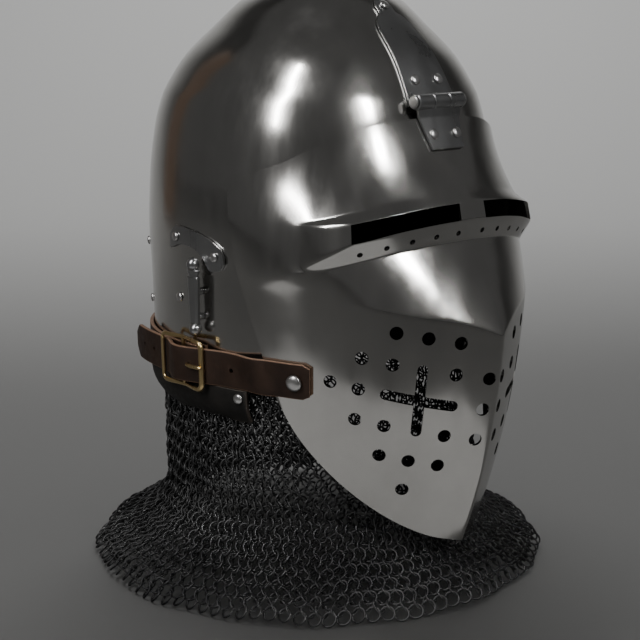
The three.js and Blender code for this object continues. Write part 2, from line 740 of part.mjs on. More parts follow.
function hingeRivets() {
  const across = HINGE_RIVET_PITCH / 2;
  const spots = [
    { name: 'apex', frame: browFrame(0, UPPER_LEAF_TOP - APEX_RIVET_DROP) },
    { name: 'upper_right', frame: browFrame(-across, HINGE_HEIGHT + UPPER_RIVET_RISE) },
    { name: 'upper_left', frame: browFrame(across, HINGE_HEIGHT + UPPER_RIVET_RISE) },
  ];
  for (const [name, side] of [['lower_right', 1], ['lower_left', -1]]) {
    const frame = visorFrame((side * across) / SKULL_FRONT, HINGE_HEIGHT - LOWER_RIVET_DROP);
    spots.push({ name, frame: lifted(frame, GAP + LEAF_THICKNESS + GAP) });
  }
  for (const { name, frame } of spots) put(`hinge_rivet_${name}`, rivet(frame, RIVET_RADIUS), steel);
}

// Side fitting: an arched plate under three rivets, and a bar on two posts with ball ends
function sidePlate(side) {
  const back = SIDE_RIVET_BACK_ANGLE + SIDE_PLATE_END_ANGLE;
  const front = SIDE_RIVET_FRONT_ANGLE - SIDE_PLATE_END_ANGLE;
  const top = SIDE_RIVET_TOP + SIDE_PLATE_MARGIN;
  const low = SIDE_RIVET_FRONT - SIDE_PLATE_FOOT;
  const angles = spread(front, back, 8);
  const archTop = curve([
    { at: 0, up: 0.45 }, { at: 0.25, up: 0.72 }, { at: 0.6, up: 0.93 },
    { at: 0.85, up: 1 }, { at: 1, up: 0.8 },
  ], 'at', 'up');
  const archLow = curve([
    { at: 0, up: 0.2 }, { at: 0.25, up: 0 }, { at: 0.5, up: 0.42 },
    { at: 0.75, up: 0.5 }, { at: 1, up: 0.35 },
  ], 'at', 'up');
  const point = (angle, share) => {
    const at = (angle - front) / (back - front);
    const height = low + (top - low) * THREE.MathUtils.lerp(archLow(at), archTop(at), share);
    return skullPoint(side * radians(angle), height);
  };
  const order = side > 0 ? angles : [...angles].reverse();
  return thicken(gridSheet(point, order, spread(0, 1, 3)), GAP, GAP + SIDE_PLATE_THICKNESS);
}

function sideBar(side) {
  const angle = side * radians(SIDE_BAR_ANGLE);
  const half = SIDE_BAR_LENGTH / 2;
  const middle = STRAP_HEIGHT + STRAP_WIDTH / 2 + SIDE_BAR_CLEARANCE + half;
  const frame = skullFrame(angle, middle, SIDE_BAR_STANDOFF);
  const outline = new THREE.Shape([
    new THREE.Vector2(-SIDE_BAR_TIP / 2, -half),
    new THREE.Vector2(SIDE_BAR_TIP / 2, -half),
    new THREE.Vector2(SIDE_BAR_WIDTH / 2, half),
    new THREE.Vector2(-SIDE_BAR_WIDTH / 2, half),
  ]);
  const blade = new THREE.ExtrudeGeometry(outline, { depth: SIDE_BAR_THICKNESS, bevelEnabled: false });
  blade.translate(0, 0, -SIDE_BAR_THICKNESS / 2);
  const ball = (y) => new THREE.SphereGeometry(SIDE_BALL_RADIUS, 8, 5).translate(0, y, 0);
  const foot = -SIDE_BAR_STANDOFF + GAP;
  const post = (y) => rod(new THREE.Vector3(0, y, foot), new THREE.Vector3(0, y, 0), SIDE_POST_RADIUS, 8);
  const inset = SIDE_BAR_LENGTH * 0.38;
  return join(
    blade,
    ball(half + SIDE_BALL_RADIUS * 0.8),
    ball(-half - SIDE_BALL_RADIUS * 0.8),
    post(-inset),
    post(inset * 0.2),
  ).applyMatrix4(frame);
}

function sideFittings() {
  for (const [name, side] of [['right', 1], ['left', -1]]) {
    put(`side_plate_${name}`, sidePlate(side), steel);
    put(`side_bar_${name}`, sideBar(side), steel);
    const lift = GAP + SIDE_PLATE_THICKNESS + GAP;
    const spots = [
      ['plate_back', SIDE_RIVET_BACK_ANGLE, SIDE_RIVET_TOP, lift],
      ['plate_front', SIDE_RIVET_FRONT_ANGLE, SIDE_RIVET_FRONT, lift],
      ['low', SIDE_RIVET_BACK_ANGLE + 1, SIDE_RIVET_LOW, GAP],
      ['rear_top', REAR_RIVET_ANGLE, SIDE_RIVET_TOP - REAR_RIVET_DROP, GAP],
      ['rear_low', REAR_RIVET_ANGLE, SIDE_RIVET_LOW - REAR_RIVET_DROP, GAP],
    ];
    for (const [place, angle, height, rise] of spots) {
      const frame = skullFrame(side * radians(angle), height, rise);
      put(`skull_rivet_${name}_${place}`, rivet(frame, RIVET_RADIUS * 0.9), steel);
    }
  }
}

// Radius of what the strap lies on: the visor's cheek in front, then the skull
function strapSeat(angle, height) {
  const turn = Math.abs(Math.atan2(Math.sin(angle), Math.cos(angle)));
  const skullRadius = planRadius(turn) * skullGirth(height);
  const { at, level } = visorLevel(turn, height, 0, 1);
  const cheek = visorPolar(Math.min(at, 1), level).radius;
  const onSkull = THREE.MathUtils.smoothstep(at, 1.02, 1.22);
  return THREE.MathUtils.lerp(Math.max(cheek, skullRadius), skullRadius, onSkull);
}

const buckleMiddleAngle = (BUCKLE_FRONT_ANGLE + BUCKLE_BACK_ANGLE) / 2;

// Rise of the strap over its seat, as it threads the buckle
const frontPath = curve([
  { turn: STRAP_FRONT_ANGLE, rise: GAP },
  { turn: BUCKLE_FRONT_ANGLE - STRAP_RAMP_ANGLE, rise: GAP },
  { turn: BUCKLE_FRONT_ANGLE, rise: STRAP_THICKNESS + 2 * GAP },
  { turn: buckleMiddleAngle, rise: STRAP_THICKNESS * 2 + BUCKLE_WIRE + 3 * GAP },
  { turn: BUCKLE_BACK_ANGLE, rise: STRAP_THICKNESS + 2 * GAP },
  { turn: STRAP_TAIL_ANGLE, rise: STRAP_THICKNESS + STRAP_TAIL_RISE },
], 'turn', 'rise');

function strapWall(angles, rise, taperAt) {
  const point = (angle, share) => {
    const turn = degrees(angle);
    const narrow = taperAt ? taperAt(turn) : 1;
    const height = STRAP_HEIGHT + (share * narrow * STRAP_WIDTH) / 2;
    return polar(angle, strapSeat(angle, height) + rise(turn), height, skullCentre(height));
  };
  return thicken(gridSheet(point, angles.map(radians), [-1, 0, 1]), 0, STRAP_THICKNESS);
}

function strapFront() {
  const angles = [...spread(STRAP_FRONT_ANGLE, BUCKLE_FRONT_ANGLE - STRAP_RAMP_ANGLE, 9),
    ...spread(BUCKLE_FRONT_ANGLE - STRAP_RAMP_ANGLE, STRAP_TAIL_ANGLE, 18).slice(1)];
  const taper = (turn) => Math.min(
    1,
    0.35 + (STRAP_TAIL_ANGLE - turn) / STRAP_TIP_ANGLE,
    0.75 + (turn - STRAP_FRONT_ANGLE) / STRAP_TIP_ANGLE,
  );
  return strapWall(angles, frontPath, taper);
}

function strapBack() {
  const start = buckleMiddleAngle - STRAP_TIP_ANGLE;
  const end = 360 - STRAP_FRONT_ANGLE;
  const taper = (turn) => Math.min(1, 0.75 + (end - turn) / STRAP_TIP_ANGLE);
  return strapWall(spread(start, end, 30), () => GAP * 2, taper);
}

// Buckle: a frame of round wire with a middle bar, over the strap's back half
function bucklePoint(turn, height, rise) {
  return polar(radians(turn), planRadius(radians(turn)) * skullGirth(height) + rise, height);
}

const buckleRise = STRAP_THICKNESS * 2 + 3 * GAP + BUCKLE_WIRE / 2;

function buckleFrame() {
  const half = BUCKLE_HEIGHT / 2;
  const middleRise = STRAP_THICKNESS + 2 * GAP + BUCKLE_WIRE / 2;
  const corner = BUCKLE_CORNER;
  const turn = BUCKLE_CORNER_ANGLE;
  const sunk = buckleRise - GAP;
  const low = STRAP_HEIGHT - half;
  const high = STRAP_HEIGHT + half;
  const mid = buckleMiddleAngle;
  const loop = new THREE.CatmullRomCurve3([
    bucklePoint(BUCKLE_FRONT_ANGLE, low + corner, buckleRise),
    bucklePoint(BUCKLE_FRONT_ANGLE, high - corner, buckleRise),
    bucklePoint(BUCKLE_FRONT_ANGLE + turn, high, sunk),
    bucklePoint(mid, high, middleRise),
    bucklePoint(BUCKLE_BACK_ANGLE - turn, high, sunk),
    bucklePoint(BUCKLE_BACK_ANGLE, high - corner, buckleRise),
    bucklePoint(BUCKLE_BACK_ANGLE, low + corner, buckleRise),
    bucklePoint(BUCKLE_BACK_ANGLE - turn, low, sunk),
    bucklePoint(mid, low, middleRise),
    bucklePoint(BUCKLE_FRONT_ANGLE + turn, low, sunk),
  ], true, 'centripetal');
  const frame = new THREE.TubeGeometry(loop, 28, BUCKLE_WIRE / 2, 5, true);
  const bar = rod(bucklePoint(mid, low, middleRise), bucklePoint(mid, high, middleRise), BUCKLE_WIRE / 2, 6);
  return join(frame, bar);
}

function bucklePin() {
  const start = BUCKLE_FRONT_ANGLE + STRAP_RAMP_ANGLE;
  const overStrap = frontPath(start) + STRAP_THICKNESS + BUCKLE_PIN_RADIUS + GAP;
  const overBar = buckleRise + BUCKLE_WIRE / 2 + BUCKLE_PIN_RADIUS + 2 * GAP;
  const path = new THREE.CatmullRomCurve3([
    bucklePoint(start, STRAP_HEIGHT, overStrap),
    bucklePoint((start + BUCKLE_FRONT_ANGLE) / 2, STRAP_HEIGHT, overStrap),
    bucklePoint(BUCKLE_FRONT_ANGLE - 1, STRAP_HEIGHT, overBar),
  ]);
  const section = new THREE.Shape();
  section.absarc(0, 0, BUCKLE_PIN_RADIUS, 0, Math.PI * 2);
  const options = { steps: 4, extrudePath: path, curveSegments: 6, bevelEnabled: false };
  return new THREE.ExtrudeGeometry(section, options);
}

function strapRivets() {
  for (const [name, side] of [['right', 1], ['left', -1]]) {
    const turn = side * radians(STRAP_RIVET_ANGLE);
    const frame = visorFrame(turn, STRAP_HEIGHT);
    put(`strap_rivet_${name}`, rivet(lifted(frame, STRAP_THICKNESS + 3 * GAP), STRAP_RIVET_RADIUS), steel);
  }
}

// Leather band that carries the mail: it laps the skull's rim and turns in below it
const bandLean = curve([{ below: 0, in: 0 }, { below: 0.5, in: 0.35 }, { below: 1, in: 1 }], 'below', 'in');

function bandPoint(angle, up) {
  const height = BAND_TOP - BAND_HEIGHT * (1 - up);
  const seat = planRadius(angle) * skullGirth(Math.max(height, SKULL_RIM));
  const below = (SKULL_RIM - height) / (SKULL_RIM - BAND_FOOT);
  return polar(angle, seat - BAND_TUCK * bandLean(below), height);
}

function leatherBand() {
  const angles = spread(radians(BAND_FRONT_ANGLE), radians(360 - BAND_FRONT_ANGLE), 28);
  return thicken(gridSheet(bandPoint, angles, [0, 0.3, 0.62, 1]), 2 * GAP, 2 * GAP + BAND_THICKNESS);
}

function bandRivets() {
  for (const [name, side] of [['right', 1], ['left', -1]]) {
    const angle = side * radians(BAND_FRONT_ANGLE + 3);
    const height = BAND_TOP - BAND_HEIGHT * 0.25;
    const frame = skullFrame(angle, height, GAP * 3 + BAND_THICKNESS);
    put(`band_rivet_${name}`, rivet(frame, RIVET_RADIUS), steel);
  }
}

// Mail curtain: a neck that hangs inside the band and spreads into a round skirt. Its upper
// edge climbs inside the cheeks of the visor and dips across the chin; heights are shares of
// the band's foot, and the flare's of its own height.
const tuck = 1 + MAIL_TUCK / BAND_FOOT;
const mailTop = curve([
  { turn: 0, top: 1 }, { turn: 15, top: 1.045 }, { turn: 30, top: 1.145 }, { turn: 42, top: 1.228 },
  { turn: 49, top: 1.24 }, { turn: 58, top: 1.22 }, { turn: 70, top: tuck }, { turn: 180, top: tuck },
], 'turn', 'top');
const neckGirth = curve([
  { up: 0.34, girth: 0.985 }, { up: 0.62, girth: 1 }, { up: 0.94, girth: 1.003 },
], 'up', 'girth');
const skirtSpread = curve([
  { up: 0, share: 1 }, { up: 0.17, share: 0.86 }, { up: 0.41, share: 0.46 },
  { up: 0.65, share: 0.18 }, { up: 1, share: 0 },
], 'up', 'share');

function mailPoint(angle, share) {
  const turn = Math.abs(degrees(Math.atan2(Math.sin(angle), Math.cos(angle))));
  const height = BAND_FOOT * mailTop(turn) * share;
  const neck = planRadius(angle) * MAIL_NECK * neckGirth(height / BAND_FOOT);
  const radius = THREE.MathUtils.lerp(neck, MAIL_SKIRT_RADIUS, skirtSpread(height / MAIL_FLARE));
  return polar(angle, radius, height);
}

function mailCurtain() {
  const rows = [0, 0.08, 0.2, 0.34, 0.65, 1];
  return thicken(gridSheet(mailPoint, spread(0, 2 * Math.PI, 28), rows), -MAIL_WALL, 0);
}

put('skull', skull(), steel);
put('visor', visor(), steel);
put('hinge_upper_leaf', upperLeaf(), steel);
put('hinge_lower_leaf', lowerLeaf(), steel);
put('hinge_pin', hingePin(), darkSteel);
hingeRivets();
sideFittings();
put('strap_front', strapFront(), tanLeather);
put('strap_back', strapBack(), tanLeather);
strapRivets();
put('buckle_frame', buckleFrame(), brass);
put('buckle_pin', bucklePin(), brass);
put('aventail_band', leatherBand(), darkLeather);
bandRivets();
put('aventail_mail', mailCurtain(), mail);

export default helmet;
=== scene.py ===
"""A visored bascinet with a mail aventail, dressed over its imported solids.

Lengths below are millimetres, heights count from the lowest edge of the mail, and the head
seat, which is the frame's origin, lies SEAT above it. The helmet faces -Y and its right side
is -X. Angles run round from the front towards the right side.
"""
import json
import math

import bmesh
import bpy
import numpy as np
from mathutils import Matrix, Vector

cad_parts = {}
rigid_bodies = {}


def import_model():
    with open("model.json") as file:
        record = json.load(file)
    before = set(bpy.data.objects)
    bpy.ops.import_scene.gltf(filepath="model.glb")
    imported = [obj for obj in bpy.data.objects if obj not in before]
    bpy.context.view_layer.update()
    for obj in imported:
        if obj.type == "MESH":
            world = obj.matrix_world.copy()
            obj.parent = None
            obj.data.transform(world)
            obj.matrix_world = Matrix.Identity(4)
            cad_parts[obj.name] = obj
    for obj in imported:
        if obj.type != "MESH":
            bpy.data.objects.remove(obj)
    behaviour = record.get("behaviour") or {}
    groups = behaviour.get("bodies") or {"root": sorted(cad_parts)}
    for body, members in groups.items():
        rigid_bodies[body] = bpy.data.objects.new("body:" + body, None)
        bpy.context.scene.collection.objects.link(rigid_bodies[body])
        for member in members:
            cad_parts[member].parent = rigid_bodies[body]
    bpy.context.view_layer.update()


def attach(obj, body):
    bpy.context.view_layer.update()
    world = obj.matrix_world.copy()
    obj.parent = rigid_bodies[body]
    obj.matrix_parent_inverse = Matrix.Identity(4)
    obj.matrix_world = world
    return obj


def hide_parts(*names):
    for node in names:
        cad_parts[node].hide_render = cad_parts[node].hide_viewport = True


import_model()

SEAT = 338.0
SHEET = 2.0
GAP = 0.35
CREASE = 38.0

# Half lengths of the cutters of the face, the breaths, the crosses, the small holes and the slits
FACE_CUT = 130
BREATH_CUT = 8
CROSS_CUT = 9
BROW_CUT = 5
SLIT_CUT = SHEET * 4

# Skull
SKULL_RIM = 121.0
SKULL_HEIGHT = 258.5
SKULL_APEX = SKULL_RIM + SKULL_HEIGHT
SKULL_HALF_WIDTH = 104.0
SKULL_FRONT = 113.0
SKULL_BACK = 118.0
SKULL_APEX_FORWARD = 6.0
SKULL_FRONT_POWER = 2.25
SKULL_BACK_POWER = 2.05
FACE_BROW = SKULL_APEX - 116.5
FACE_SIDE = 60.0
FACE_CORNER = 24.0
FACE_BEVEL = [(44.0, 0.0), (44.0, 5.0), (60.0, 27.0)]

# Visor
VISOR_CLEARANCE = 1.8
VISOR_HALF_ANGLE = 70.0
VISOR_TOP = SKULL_APEX - 86.0
VISOR_HEIGHT = 257.5
SNOUT_REACH = 50.0
LEDGE_REACH = 23.0
LEDGE_HALF_ANGLE = 39.0
LEDGE_END_BLEND = 6.0
# How far the visor's lines are rounded: everywhere, more at the ridge, and where they fade out
LINE_WINDOW = 1.0
RIDGE_WINDOW = 0.4
LEDGE_FADE_WINDOW = 15
RIDGE_FADE_WINDOW = 30
RIDGE_SPREAD = 38
SLIT_BAR = 20.0
SLIT_HALF_ANGLE = 33.0
SLIT_LOWER_LINE = 3
SLIT_UPPER_LINE = 4
BREATH_HOLE = 8.0
BREATH_STEP_FORWARD = 17.2
BREATH_STEP_DOWN = 19.1
BREATH_ROW_FALL = 3.6
BREATH_ROW_SHIFT = 1.3
CROSS_ARC = 40.5
CROSS_HEIGHT = 132.5
CROSS_WIDTH = 6.5
CROSS_UPRIGHT = 45.0
CROSS_BAR = 47.0
BROW_HOLE = 3.4
BROW_HOLES = 5
BROW_HOLE_PITCH = 15.7
BROW_HOLE_DROP = 7.5

# Hinge
HINGE_HEIGHT = VISOR_TOP + 9.0
HINGE_WIDTH = 38.0
BARREL_RADIUS = 4.7
PIN_RADIUS = 2.0
PIN_HEAD = 1.8
LEAF_THICKNESS = 1.8
LEAF_TOP = SKULL_APEX - 18.5
LOWER_LEAF_LENGTH = 26.0
BARREL_SINK = 0.8
BARREL_EASE = 0.5
RIVET_RADIUS = 3.2
HINGE_RIVET_REACH = 9.4
HINGE_RIVET_RISE = 11.0
HINGE_RIVET_FALL = 19.5
HINGE_TIP_MARGIN = 5.0

# Strap, buckle and band
BAND_TOP = SKULL_RIM + 9.15
BAND_HEIGHT = 21.0
BAND_FOOT = BAND_TOP - BAND_HEIGHT
BAND_THICKNESS = 2.5
BAND_TUCK = 6.0
BAND_FRONT_ANGLE = 64.0
STRAP_WIDTH = 22.0
STRAP_THICKNESS = 2.6
STRAP_HEIGHT = BAND_TOP + GAP + STRAP_WIDTH / 2
STRAP_FRONT_ANGLE = 43.0
STRAP_RIVET_ANGLE = 46.8
STRAP_RIVET_RADIUS = 5.0
STRAP_TAIL_ANGLE = 129.0
STRAP_TAIL_RISE = 7.0
STRAP_HOLE_RADIUS = 1.5
STRAP_HOLE_ANGLES = (70.0, 86.5, 112.0, 119.5)
BUCKLE_FRONT_ANGLE = 81.0
BUCKLE_BACK_ANGLE = 103.0
BUCKLE_MIDDLE_ANGLE = (BUCKLE_FRONT_ANGLE + BUCKLE_BACK_ANGLE) / 2
BUCKLE_HEIGHT = 30.0
BUCKLE_WIRE = 2.8
BUCKLE_CORNER = 4.0
PRONG_RADIUS = 1.3

# Side fitting
SIDE_RIVET_TOP = SKULL_RIM + 97.5
SIDE_RIVET_LOW = SIDE_RIVET_TOP - 38.5
SIDE_RIVET_FRONT = SIDE_RIVET_TOP - 8.5
SIDE_RIVET_BACK_ANGLE = 96.0
SIDE_RIVET_FRONT_ANGLE = 76.0
SIDE_PLATE_THICKNESS = 1.6
SIDE_BAR_LENGTH = 34.0
SIDE_BAR_WIDTH = 10.5
SIDE_BAR_TIP = 7.0
SIDE_BAR_THICKNESS = 4.0
SIDE_BAR_ANGLE = 84.0
SIDE_BAR_STANDOFF = 6.0
SIDE_BAR_RISE = 15.15
SIDE_BAR_SECTION = np.array([(1, 0.45), (0.62, 1), (-0.62, 1), (-1, 0.45),
                             (-1, -0.45), (-0.62, -1), (0.62, -1), (1, -0.45)])
SIDE_FOOT_RADIUS = 2.2
SIDE_BALL_RADIUS = 4.0
REAR_RIVET_ANGLE = 133.0
REAR_RIVET_DROP = 12.5

# Mail
MAIL_NECK = 0.915
MAIL_SKIRT_RADIUS = 152.0
MAIL_TUCK = 10.0
MAIL_FLARE = 46.0
MAIL_INSET = 1.5
MAIL_REACH_SHARE = 1.43
MAIL_MESHES = 4
RING_RADIUS = 4.4
RING_WIRE = 0.65
RING_COLUMNS = 104
RING_ROW_PITCH = 5.25
RING_LEAN = 30.0
RING_SEED = 7
RING_SCATTER = 0.18
RING_LEAN_SCATTER = 4.0
RING_NOD_SCATTER = 5.0
RING_SIDES = 14
WIRE_SIDES = 6


# Curves and surfaces

def curve(x, y):
    """A smooth curve through points that never swings past them: cubic pieces whose slope at
    each point is the harmonic mean of the slopes on its two sides, or none at a turning point."""
    x, y = np.array(x, float), np.array(y, float)
    slope = np.diff(y) / np.diff(x)
    tangent = np.concatenate([slope[:1], np.zeros(len(slope) - 1), slope[-1:]])
    for i in range(1, len(slope)):
        if slope[i - 1] * slope[i] > 0:
            tangent[i] = 2 * slope[i - 1] * slope[i] / (slope[i - 1] + slope[i])

    def value(at):
        at = np.clip(at, x[0], x[-1])
        i = np.clip(np.searchsorted(x, at, side="right") - 1, 0, len(slope) - 1)
        step = x[i + 1] - x[i]
        t = (at - x[i]) / step
        rise = y[i + 1] - y[i]
        a = tangent[i] * step - rise
        b = rise - tangent[i + 1] * step
        return y[i] + t * rise + t * (1 - t) * ((1 - t) * a + t * b)

    return value


def smoothstep(value, low, high):
    """Rises from 0 at low to 1 at high without a corner."""
    t = np.clip((value - low) / (high - low), 0, 1)
    return t * t * (3 - 2 * t)


def mix(a, b, share):
    """The value at a share of the way from a to b."""
    return a + (b - a) * share


def polar(angle, radius, height, centre=0.0):
    """Points at an angle from the front, a radius from the axis and a height."""
    angle, radius, height, centre = np.broadcast_arrays(angle, radius, height, centre)
    return np.stack([-radius * np.sin(angle), centre - radius * np.cos(angle), height], -1)


GIRTH_FALL = [0, 0.021, 0.072, 0.13, 0.207, 0.257, 0.3, 0.385, 0.51, 0.625, 0.74, 1]
GIRTH_SHARE = [0, 0.235, 0.452, 0.598, 0.775, 0.852, 0.905, 0.957, 0.99, 1, 0.99, 0.975]
girth_curve = curve(np.sqrt(GIRTH_FALL), GIRTH_SHARE)


def skull_girth(height):
    """Share of the widest section at a height, from the table against the square root of the
    depth below the apex, which keeps the crown round."""
    return girth_curve(np.sqrt(np.clip((SKULL_APEX - height) / SKULL_HEIGHT, 0, 1)))


def plan_radius(angle):
    """Radius of the widest section: a superellipse, with its own length and power in front."""
    ahead = np.cos(angle) > 0
    length = np.where(ahead, SKULL_FRONT, SKULL_BACK)
    power = np.where(ahead, SKULL_FRONT_POWER, SKULL_BACK_POWER)
    side = np.abs(np.sin(angle)) / SKULL_HALF_WIDTH
    return (side ** power + (np.abs(np.cos(angle)) / length) ** power) ** (-1 / power)


def skull_centre(height):
    """How far the section's middle lies forward, which grows towards the apex."""
    return -SKULL_APEX_FORWARD * (1 - skull_girth(height))


def skull_point(angle, height):
    """The skull's outside: the plan's radius times the girth, about the section's middle."""
    return polar(angle, plan_radius(angle) * skull_girth(height), height, skull_centre(height))


def brow_point(across, height):
    """The skull's front at a distance to the side of the centre line."""
    across, height = np.broadcast_arrays(np.asarray(across, float), height)
    girth = np.maximum(skull_girth(height), 1e-4)
    share = np.clip(np.abs(across) / (SKULL_HALF_WIDTH * girth), 0, 1)
    depth = SKULL_FRONT * girth * (1 - share ** SKULL_FRONT_POWER) ** (1 / SKULL_FRONT_POWER)
    return np.stack([across, skull_centre(height) - depth, height], -1)


# The visor's lines from its lower edge up: half angle as a share, reach, swell of the panel
# above, height share and stand-off share at places along the line. A lip has its reach as a
# share of the ledge's, and the number of the crease that it runs into.
LINE_AT = [0, 0.15, 0.3, 0.45, 0.6, 0.75, 0.9, 1]
VISOR_LINES = [
    dict(end=0.765, reach=SNOUT_REACH, swell=5.0,
         up=[0, 0.019, 0.051, 0.093, 0.144, 0.205, 0.283, 0.36],
         out=[0.43, 0.3, 0.19, 0.09, 0.02, -0.02, -0.02, 0.01]),
    dict(end=0.909, reach=SNOUT_REACH, swell=0.8, at=[0, 0.07] + LINE_AT[1:],
         up=[0.523, 0.543, 0.559, 0.575, 0.592, 0.604, 0.605, 0.6, 0.597],
         out=[1, 0.885, 0.77, 0.6, 0.44, 0.29, 0.17, 0.08, 0.04]),
    dict(end=0.931, reach=LEDGE_REACH,
         up=[0.726, 0.723, 0.714, 0.697, 0.677, 0.661, 0.648, 0.64],
         out=[0.83, 0.78, 0.72, 0.68, 0.61, 0.46, 0.25, 0.08]),
    dict(end=0.95, reach=LEDGE_REACH, lip=1.007, crease=2,
         up=[0.777, 0.772, 0.761, 0.742, 0.724, 0.708, 0.695, 0.687],
         out=[0.81, 0.77, 0.7, 0.63, 0.55, 0.41, 0.21, 0.07]),
    dict(end=0.965, reach=LEDGE_REACH, lip=0.907, crease=5,
         up=[0.816, 0.812, 0.801, 0.785, 0.768, 0.755, 0.741, 0.733],
         out=[0.8, 0.76, 0.67, 0.58, 0.49, 0.35, 0.17, 0.05]),
    dict(end=0.98, reach=LEDGE_REACH, swell=-2.5,
         up=[0.834, 0.832, 0.823, 0.804, 0.783, 0.767, 0.753, 0.745],
         out=[0.79, 0.75, 0.65, 0.56, 0.47, 0.31, 0.15, 0.04]),
    dict(end=1.0, reach=LEDGE_REACH,
         up=[1, 0.998, 0.99, 0.971, 0.94, 0.901, 0.873, 0.828],
         out=[0, 0, 0, 0, 0, 0, 0, 0]),
]
for line in VISOR_LINES:
    for key in ("up", "out"):
        line[key] = curve(line.get("at", LINE_AT), line[key])
LINE_ENDS = np.array([line["end"] for line in VISOR_LINES])
# Distance of each line from the lower edge, measured along the sheet near the middle
LINE_PLACES = np.array([0, 130, 182, 194, 203, 207, 248.0])


def line_height(line, at):
    """The height of a line at a place along it."""
    return VISOR_TOP - VISOR_HEIGHT * (1 - line["up"](np.abs(at)))


def visor_line(line, at):
    """Angle, height and radius of one line: the skull's radius, the clearance and the sheet,
    and the line's stand-off, drawn out to one round ledge where the line is a lip. Past the
    ledge's ends a lip runs into the crease beside it."""
    angle = np.radians(VISOR_HALF_ANGLE * line["end"] * at)
    height = line_height(line, at)
    seat = plan_radius(angle) * skull_girth(height) + VISOR_CLEARANCE + SHEET
    radius = seat + line["out"](np.abs(at)) * line["reach"]
    if "lip" in line:
        crease = VISOR_LINES[line["crease"]]
        lip = SKULL_FRONT + VISOR_CLEARANCE + SHEET + LEDGE_REACH * line["lip"]
        inside = LEDGE_HALF_ANGLE - np.abs(np.degrees(angle))
        share = np.clip(0.5 + inside / (2 * LEDGE_END_BLEND), 0, 1)
        radius = mix(radius, lip, share)
        height = mix(line_height(crease, at), height, 0.15 + 0.85 * share)
    return np.stack([angle, height, radius])


def visor_polar(at, level):
    """Angle, height and radius between two lines: straight from one to the next, and swelled
    by a parabola that dies out at the rear edges."""
    at, level = np.broadcast_arrays(np.asarray(at, float), np.asarray(level, float))
    at = np.clip(at, -1, 1)
    lines = np.stack([visor_line(line, at) for line in VISOR_LINES])
    index = np.minimum(level.astype(int), len(VISOR_LINES) - 2)
    t = level - index
    low = np.take_along_axis(lines, index[None, None], 0)[0]
    high = np.take_along_axis(lines, index[None, None] + 1, 0)[0]
    swell = np.array([line.get("swell", 0.0) for line in VISOR_LINES])[index]
    place = mix(low, high, t)
    place[2] += swell * (1 - at * at) * 4 * t * (1 - t)
    return place


def visor_point(at, level):
    """The visor's outside as planned, with its lines sharp."""
    angle, height, radius = visor_polar(at, level)
    return polar(angle, radius, height)


def visor_level(angle, height, highest=6.0):
    """The place along the line and the level at an angle and a height, found by halving."""
    angle, height = np.broadcast_arrays(np.asarray(angle, float), np.asarray(height, float))
    low, high = np.zeros(angle.shape), np.full(angle.shape, highest)

    def along(level):
        return np.degrees(angle) / (VISOR_HALF_ANGLE * np.interp(level, range(7), LINE_ENDS))

    for _ in range(22):
        level = (low + high) / 2
        below = visor_polar(along(level), level)[1] < height
        low, high = np.where(below, level, low), np.where(below, high, level)
    return along(low), low


def visor_surface(angle, height):
    """The visor's outside by angle and height."""
    return visor_point(*visor_level(angle, height))


def visor_rounded(at, place):
    """The visor's outside with its lines rounded: the mean of the sharp surface over a small
    window, which is narrow at the eye ledge, a little wider at the ridge of the snout, and
    wide towards the rear edges, where the ledge and the ridge die out."""
    at, place = np.broadcast_arrays(at, place)
    past = smoothstep(np.abs(at) * VISOR_HALF_ANGLE * 0.95, 43, 52)
    on_face = smoothstep(place, 100, 130) * (1 - smoothstep(place, 225, 247))
    fading = smoothstep(np.abs(at) * VISOR_HALF_ANGLE * 0.91, 30, 46)
    near_ridge = np.exp(-((place - LINE_PLACES[1]) / RIDGE_SPREAD) ** 2)
    window = LINE_WINDOW + RIDGE_WINDOW * near_ridge
    window = window + LEDGE_FADE_WINDOW * past * on_face * (1 - near_ridge)
    window = window + RIDGE_FADE_WINDOW * fading * near_ridge
    total, weight = np.zeros(at.shape + (3,)), 0.0
    for step_place in np.linspace(-1, 1, 19):
        level = np.interp(place + step_place * window, LINE_PLACES, range(7))
        for step_at in np.linspace(-1, 1, 5):
            part = (1.15 - abs(step_place)) * (1.15 - abs(step_at))
            fade = 1 - smoothstep(np.abs(at), 0.85, 0.99)
            total += part * visor_point(at + step_at * 0.01 * fade, level)
            weight += part
    return total / weight


def normals_of(points, wrap=False):
    """Unit normals of a grid of points, from the differences along its two directions."""
    if wrap:
        along_u = np.roll(points, -1, 0) - np.roll(points, 1, 0)
    else:
        along_u = np.gradient(points, axis=0)
    normal = np.cross(np.gradient(points, axis=1), along_u)
    size = np.linalg.norm(normal, axis=-1, keepdims=True)
    return np.where(size > 1e-9, normal / np.maximum(size, 1e-9), [0.0, 0.0, 1.0])


def surface_frame(surface, angle, height, lift=0.0):
    """A 4 x 4 frame on a surface: X to the side, Y up, Z outward, lifted along Z."""
    side = surface(angle + 0.02, height) - surface(angle - 0.02, height)
    up = surface(angle, height + 2) - surface(angle, height - 2)
    side, up = side / np.linalg.norm(side), up / np.linalg.norm(up)
    out = np.cross(up, side)
    out /= np.linalg.norm(out)
    made = np.eye(4)
    made[:3, 0], made[:3, 1], made[:3, 2] = -side, np.cross(side, out), out
    made[:3, 3] = surface(angle, height) + out * lift
    made[:3, 1] /= np.linalg.norm(made[:3, 1])
    return made


def across_frame(place=(0, 0, 0)):
    """A frame at a place with its X backwards, its Y up and its Z across the helmet."""
    made = np.eye(4)
    made[:3, 0], made[:3, 1], made[:3, 2] = (0, 1, 0), (0, 0, 1), (1, 0, 0)
    made[:3, 3] = place
    return made


def shifted(made, distance):
    """A frame moved along its own Y."""
    moved = made.copy()
    moved[:3, 3] += made[:3, 1] * distance
    return moved


